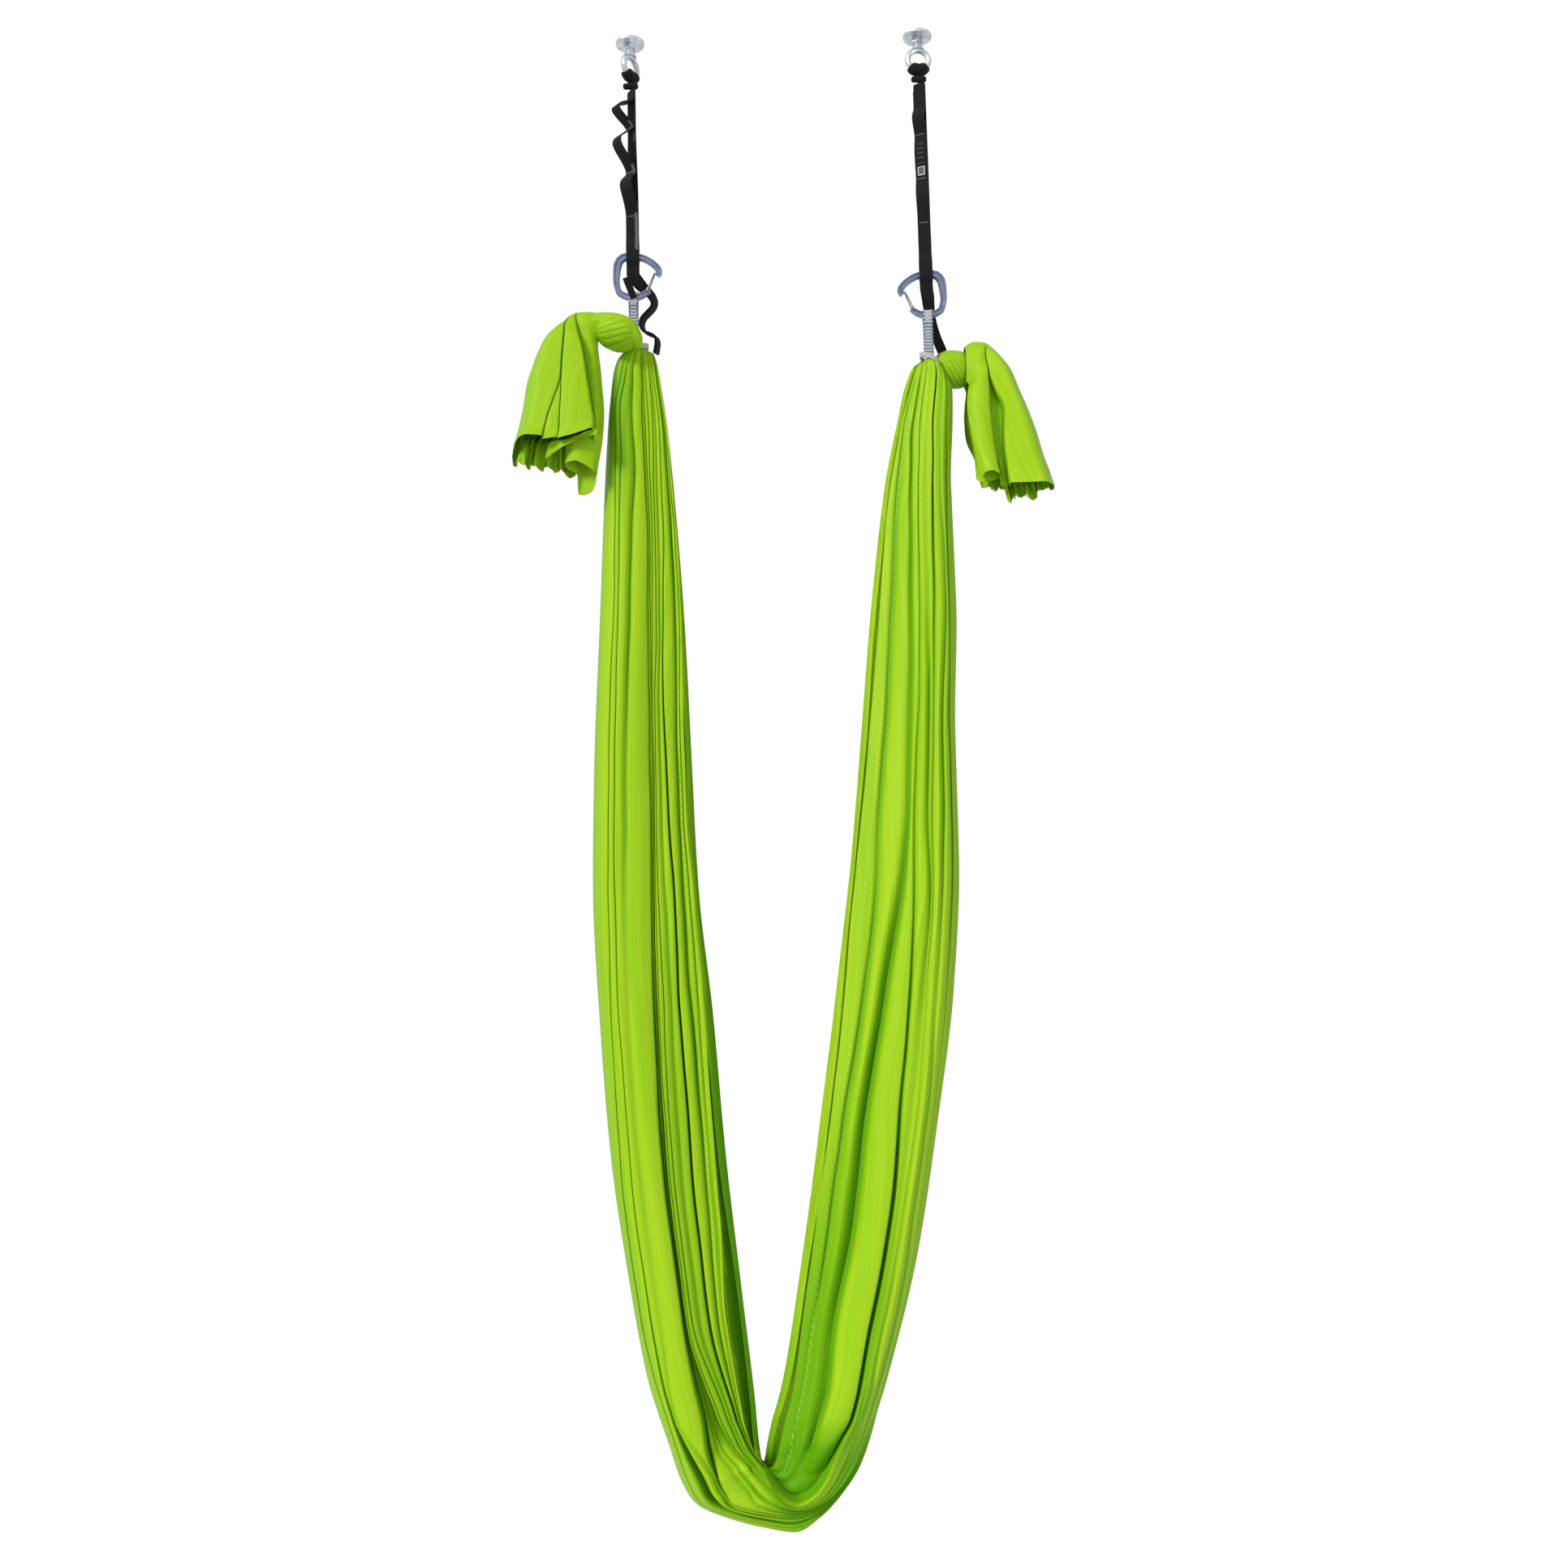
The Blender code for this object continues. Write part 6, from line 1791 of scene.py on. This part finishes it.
@dataclass
class Sling:
    """Sewn tape sling over the carabiner's basket, its stitching, tag and neck band."""

    side: SideSizes
    tape: Dress
    thread: Dress
    tag: Optional[Dress] = None
    width: float = 0.0160
    thickness: float = 0.0018
    clearance: float = 0.0005
    bar_width: float = 0.0104
    bar_thickness: float = 0.0096
    basket_radius: float = 0.034
    squareness: float = 0.4
    band_height: float = 0.0080
    band_thickness: float = 0.0030
    band_radius: float = 0.0131
    band_wander: float = 0.0009
    row_pitch: float = 0.0052
    row_height: float = 0.0016
    relief: float = 0.0006
    tag_size: Pair = (0.0115, 0.038)
    tag_tilt: float = math.radians(20)
    tag_thickness: float = 0.0008
    tag_curl: float = 0.0012

    def foot(self) -> float:
        """Height of the sling's foot from the basket."""
        return -self.side.neck_drop + self.band_height / 2 + TOUCH_GAP + self.side.basket_drop

    def route(self) -> list[Vector]:
        """Middle line of the sling, up its front, over the basket and down its back."""
        shut = (self.thickness + TOUCH_GAP) / 2
        wide = self.bar_thickness / 2 + self.clearance + self.thickness / 2
        crown = self.bar_width / 2 + self.clearance + self.thickness / 2
        foot = self.foot()
        top = -self.bar_width * 2.1
        half = [(shut, foot + (top - foot) * number / 12) for number in range(13)]
        half += [(shut + (wide - shut) * 0.16, -self.bar_width * 1.85),
                 (wide * 0.75, -self.bar_width * 1.2), (wide * 0.97, -self.bar_width * 0.75),
                 (wide, -self.bar_width * 0.45)]
        for index in range(11):
            turn = math.pi / 2 * index / 10
            half.append((wide * max(math.cos(turn), 0) ** self.squareness,
                         crown * math.sin(turn) ** self.squareness))
        path = [Vector((0, -depth, height)) for depth, height in half]
        return path + [Vector((0, depth, height)) for depth, height in reversed(half[:-1])]

    def build(self) -> None:
        """Make every piece of the sling."""
        self.build_tape()
        self.build_rows()
        self.build_band()
        if self.tag is not None:
            self.build_tag()

    def build_tape(self) -> None:
        """The tape itself, dished where it lies in the basket."""
        path = self.route()
        tangents = path_tangents(path)
        inner_radius = self.basket_radius - self.bar_width / 2
        base = self.side.centre(-self.side.basket_drop)
        rows, places, length = [], [], 0.0
        for index, (place, tangent) in enumerate(zip(path, tangents)):
            length += (place - path[index - 1]).length if index else 0.0
            outward = Vector((0, tangent.z, -tangent.y)) * -self.thickness / 2
            near = ease_value(1 + place.z / (self.bar_width * 2))
            ring, uv = [], []
            for sign in (1, -1):
                for column, height in TAPE_PROFILE[::sign]:
                    across = column * self.width / 2
                    rise = inner_radius - math.sqrt(inner_radius ** 2 - across ** 2)
                    point = base + place + outward * sign * height
                    point += Vector((across, 0, rise * near))
                    ring.append(tuple(point))
                    uv.append((across, length))
            rows.append(ring)
            places.append(uv)
        piece = ring_mesh(f"sling_tape_{self.side.name}", rows, places)
        piece.data.set_sharp_from_angle(angle=SELVEDGE_ANGLE)
        self.tape.put(piece, f"sling_{self.side.name}")

    def build_rows(self) -> None:
        """Ladder of raised stitched rows across the sewn part."""
        half = self.route()[:17]
        levels = [place.z - self.side.basket_drop for place in half]
        depths = [place.y - (self.thickness + TOUCH_GAP) / 2 for place in half]
        top = -self.side.basket_drop - self.bar_width * 1.45
        foot = -self.side.basket_drop + self.foot()
        rows, places = [], []
        for number in range(int((top - foot) / self.row_pitch)):
            for step in range(13):
                turn = math.pi * step / 12
                level = top - self.row_pitch * number - self.row_height / 2 * -math.cos(turn)
                back = float(np.interp(level, levels, depths))
                lift = self.relief * (2 * math.sin(turn) - 1)
                row, uv = [], []
                for share in (-1.0, -0.94, -0.5, 0.0, 0.5, 0.94, 1.0):
                    across = share * self.width * 0.44
                    end = 0.4 if abs(share) == 1 else 1.0
                    row.append((self.side.centre().x + across, back - lift * end, level))
                    uv.append((level, across))
                for share in (1.0, 0.0, -1.0):
                    across = share * self.width * 0.44
                    row.append((self.side.centre().x + across, back + self.relief * 1.4, level))
                    uv.append((level, across))
                rows.append(row)
                places.append(uv)
        piece = ring_mesh(f"sling_rows_{self.side.name}", rows, places)
        self.thread.put(piece, f"sling_stitching_{self.side.name}")

    def build_band(self) -> None:
        """Hitched band of tape round the silk's neck."""
        centre = self.side.neck_centre()
        stations = []
        for index in range(64):
            turn = 2 * math.pi * index / 64
            outward = Vector((math.cos(turn), math.sin(turn), 0))
            wander = self.band_wander * math.sin(2 * turn + 0.6)
            wander += self.side.band_tilt * math.cos(turn)
            middle = centre + outward * (self.band_radius + self.band_thickness / 2)
            stations.append(Station(middle + Vector((0, 0, wander)), Vector((0, 0, 1)), outward,
                                    self.band_height / 2, self.band_thickness / 2))
        piece = strap_mesh(f"neck_tape_{self.side.name}", stations, True)
        self.tape.put(piece, f"neck_band_{self.side.name}")

    def build_tag(self) -> None:
        """Bare tag sewn to the front of the sling."""
        upward = Vector((-math.sin(self.tag_tilt), 0, math.cos(self.tag_tilt)))
        across = Vector((upward.z, 0, -upward.x))
        front = (self.bar_thickness / 2 + self.clearance + self.thickness + TOUCH_GAP
                 + self.tag_thickness / 2)
        middle = self.side.centre(-self.side.basket_drop) + Vector((0, -front, 0))
        middle += upward * (self.tag_size[1] / 2 - self.bar_width / 2)
        stations = []
        for index in range(25):
            share = index / 24 - 0.5
            curl = -self.tag_curl * (share + 0.5) ** 2
            stations.append(Station(middle + upward * self.tag_size[1] * share
                                    + Vector((0, curl, 0)), across, Vector((0, -1, 0)),
                                    self.tag_size[0] / 2, self.tag_thickness / 2))
        piece = strap_mesh("sling_label_left", stations)
        centre_tag(piece, self.tag_size[1])
        self.tag.put(piece, "sling_tag_left")


def build_tails(finish: Dress) -> None:
    """Make the loose ends of the silk and the folds that hang out of their hems."""
    left = Tail(
        LEFT, finish,
        ((-.2878, -.4857, -.2895, -.5213), (-.3114, -.4824, -.2935, -.5225),
         (-.3324, -.4846, -.2941, -.5252), (-.3535, -.5005, -.2935, -.5294),
         (-.3785, -.5231, -.2930, -.5389), (-.3917, -.5473, -.2918, -.5539),
         (-.4023, -.5770, -.2888, -.5799), (-.4102, -.6026, -.2871, -.6057),
         (-.4169, -.6443, -.2843, -.6477), (-.4235, -.6751, -.2859, -.6786),
         (-.4301, -.7005, -.2888, -.7041), (-.4345, -.7393, -.2957, -.7468),
         (-.4345, -.7750, -.3010, -.7820)),
        ((.010, .020, .030, .060, .99), (.012, .030, .040, .080, .99),
         (.015, .040, .050, .150, .99), (.080, .165, .175, .450, .99),
         (.190, .375, .385, .660, .99), (.215, .440, .450, .745, .99),
         (.225, .465, .475, .787, .99), (.220, .483, .493, .820, .99),
         (.200, .407, .500, .857, .99), (.190, .373, .519, .910, .99),
         (.185, .370, .540, .925, .99), (.185, .370, .540, .930, .99),
         (.185, .370, .540, .930, .99)),
        (0, .011, .014, .003), (0, 0, .002, -.002, .020), (0, 0, .03, .05, .12),
        (.012, .014, .018, .024, .030, .034, .038, .041, .046, .049, .050, .050, .050),
        -.031,
        ((0, 10.9), (.02, 10.35), (.06, 10.10), (.15, 10.04), (.36, 10.08), (.38, 10.22),
         (.40, 10.20), (.53, 10.12), (.55, 10.22), (.60, 10.16), (.71, 10.08), (.83, 9.85),
         (.915, 9.66), (.925, 9.70), (.94, 10.6), (1, 10.9)),
        ((0, 10.85), (.12, 10.90), (.25, 10.98), (.40, 11.12), (.60, 11.22), (.80, 11.15),
         (.92, 11.0), (1, 10.9)), 3)
    right = Tail(
        RIGHT, finish,
        ((.3011, -.5333, .2998, -.6028), (.3161, -.5246, .3010, -.6056),
         (.3335, -.5258, .3009, -.6083), (.3484, -.5373, .3008, -.6111),
         (.3643, -.5558, .2993, -.6152), (.3768, -.5756, .2978, -.6207),
         (.3900, -.6120, .2961, -.6290), (.4031, -.6476, .2941, -.6469),
         (.4147, -.6852, .2962, -.6800), (.4237, -.7230, .3007, -.7158),
         (.4341, -.7555, .3060, -.7501), (.4383, -.7807, .3152, -.7858),
         (.4360, -.8050, .3220, -.8090)),
        ((.010, .020, .030, .99), (.020, .040, .050, .99), (.030, .070, .080, .99),
         (.150, .320, .330, .99), (.200, .440, .450, .99), (.230, .500, .530, .99),
         (.240, .480, .580, .99), (.230, .430, .630, .99), (.250, .500, .670, .99),
         (.260, .560, .695, .99), (.260, .600, .715, .99), (.260, .630, .735, .99),
         (.260, .630, .735, .99)),
        (0, .003, .004), (0, 0, .020, -.004), (0, 0, .06, .30),
        (.016, .018, .020, .024, .030, .034, .038, .042, .046, .049, .050, .050, .050),
        .0255,
        ((0, 10.6), (.02, 10.85), (.08, 10.98), (.40, 10.92), (.70, 10.86), (.735, 10.84),
         (.74, 10.50), (.80, 10.36), (.90, 10.36), (.97, 10.52), (1, 10.6)),
        ((0, 10.75), (.10, 10.9), (.22, 11.25), (.30, 11.62), (.36, 11.55), (.42, 11.1),
         (.55, 11.5), (.60, 11.55), (.64, 11.0), (.80, 10.85), (1, 10.7)), 8,
        close_turn=0.3, inner_calm=0)
    left.build()
    right.build()
    # Each fold: name, support, flat size, painted shade and guides
    folds = (
        ("silk_lip_left", "knot_left", (.11, .013), 0.3,
         ((-.2926, -.2930, -.0800, -.6950, -.7045), (-.3100, -.3100, -.0780, -.6980, -.7075),
          (-.3270, -.3270, -.0765, -.7060, -.7130), (-.3432, -.3440, -.0740, -.7090, -.7195),
          (-.3560, -.3580, -.0700, -.7090, -.7270), (-.3690, -.3725, -.0640, -.7100, -.7345),
          (-.3745, -.3765, -.0585, -.7190, -.7350), (-.3772, -.3780, -.0540, -.7270, -.7335))),
        ("silk_roll_left", "knot_left", (.155, .058), .15,
         ((-.2890, -.2962, -.0500, -.6950, -.7616), (-.3000, -.3012, -.0600, -.6950, -.7560),
          (-.3160, -.3165, -.0640, -.6970, -.7460), (-.3300, -.3292, -.0650, -.7000, -.7410),
          (-.3430, -.3400, -.0620, -.7050, -.7420), (-.3462, -.3461, -.0550, -.7080, -.7452),
          (-.3440, -.3430, -.0480, -.7050, -.7490), (-.3300, -.3285, -.0430, -.7000, -.7570),
          (-.3280, -.3272, -.0400, -.7000, -.7885), (-.3150, -.3180, -.0370, -.7000, -.7890),
          (-.3000, -.3060, -.0360, -.7000, -.7830), (-.2945, -.2995, -.0380, -.7000, -.7700))),
        ("silk_roll_right", "knot_right", (.048, .034), 0.0,
         ((.3460, .3455, -.0230, -.7400, -.7660), (.3420, .3400, -.0150, -.7400, -.7715),
          (.3230, .3230, -.0120, -.7400, -.7745), (.3100, .3110, -.0120, -.7400, -.7740),
          (.3060, .3070, -.0140, -.7400, -.7700))),
        ("silk_strip_right", "knot_right", (.011, .034), 0.1,
         ((.3530, .3590, .0100, -.7700, -.8000), (.3560, .3625, .0060, -.7700, -.8060),
          (.3590, .3660, .0100, -.7700, -.8040))),
    )
    for name, support, flat, tone, guides in folds:
        HemFold(name, finish, guides, flat, support, tone).build()


def build_knots(finish: Dress) -> None:
    """Make the tied lobes and the turn that crosses the left one."""
    Knot(LEFT, finish, (-0.2640, -0.033, -0.5195), (0.0365, 0.031, 0.0275),
         math.radians(-14), 13, -0.75, 2, pear=0.10).build()
    Knot(RIGHT, finish, (0.2800, 0.0305, -0.5690), (0.0290, 0.031, 0.0325),
         math.radians(-4), 15, 1.3, 5, roundness=0.42).build()
    WrapBand(finish, ((-0.3210, -0.036, -0.5030), (-0.3020, -0.040, -0.4990),
                      (-0.2800, -0.044, -0.5005), (-0.2610, -0.049, -0.5060),
                      (-0.2450, -0.050, -0.5150), (-0.2330, -0.044, -0.5320),
                      (-0.2310, -0.032, -0.5460)), 0.0135, 0.0100, "knot_turn_left").build()


def dress_hardware() -> None:
    """Give the metal pieces of the frame their finishes."""
    zinc = MetalFinish("zinc_steel", srgb(206, 210, 214), srgb(168, 174, 180), 0.92, 0.22, 0.42,
                       (260.0, 260.0, 900.0)).build()
    alloy = MetalFinish("anodised_alloy", srgb(126, 134, 158), srgb(100, 110, 136), 0.85, 0.30,
                        0.46, (240.0, 700.0, 240.0)).build()
    wire = MetalFinish("wire_steel", srgb(150, 146, 142), srgb(96, 93, 92), 0.92, 0.24, 0.38,
                       (900.0, 900.0, 200.0)).build()
    for name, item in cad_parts.items():
        finish = None
        if name.startswith(("ceiling_plate", "stud", "lock_nut", "eye_nut")):
            finish = zinc
        elif name.startswith("carabiner"):
            finish = alloy
        elif name.startswith("gate"):
            finish = wire
        if finish is not None:
            item.data.materials.clear()
            item.data.materials.append(finish)


def main() -> None:
    """Build every sub-assembly in order."""
    logging.basicConfig(level=logging.INFO, format="%(message)s")
    Studio().build()
    silk = SilkFinish().build()
    cloth = Dress("hammock", "green_silk", silk)
    SilkLoop(cloth).build()
    build_tails(cloth)
    build_knots(cloth)
    black = WebbingFinish("black_webbing", srgb(11, 10, 12), srgb(32, 30, 33)).build()
    grey = ThreadFinish("grey_thread", srgb(120, 118, 122), srgb(40, 39, 42)).build()
    tape = WebbingFinish("sling_tape", srgb(176, 174, 182), srgb(214, 211, 216), 0.0012, 0.66,
                         srgb(74, 92, 120), 0.0066, 0.0016, 0.0060).build()
    ladder = ThreadFinish("ladder_thread", srgb(122, 132, 156), srgb(80, 92, 122)).build()
    bare = TagFinish("bare_tag", srgb(30, 29, 30), srgb(206, 206, 206), (0.006, 0.0075)).build()
    dark = TagFinish("bare_label", srgb(14, 13, 14), srgb(34, 33, 35), (0.00575, 0.019),
                     0.0006, specular=0.08).build()
    for side in SIDES:
        body = f"strap_{side.name}"
        right = side is RIGHT
        DaisyChain(side, Dress(body, "black_webbing", black),
                   Dress("anchors", "black_webbing", black),
                   Dress("swing", "black_webbing", black), Dress(body, "grey_thread", grey),
                   Dress(body, "bare_tag", bare) if right else None).build()
        Sling(side, Dress("hammock", "sling_tape", tape),
              Dress("hammock", "grey_thread", ladder),
              None if right else Dress("hammock", "bare_tag", dark)).build()
    dress_hardware()


if __name__ == "__main__":
    main()
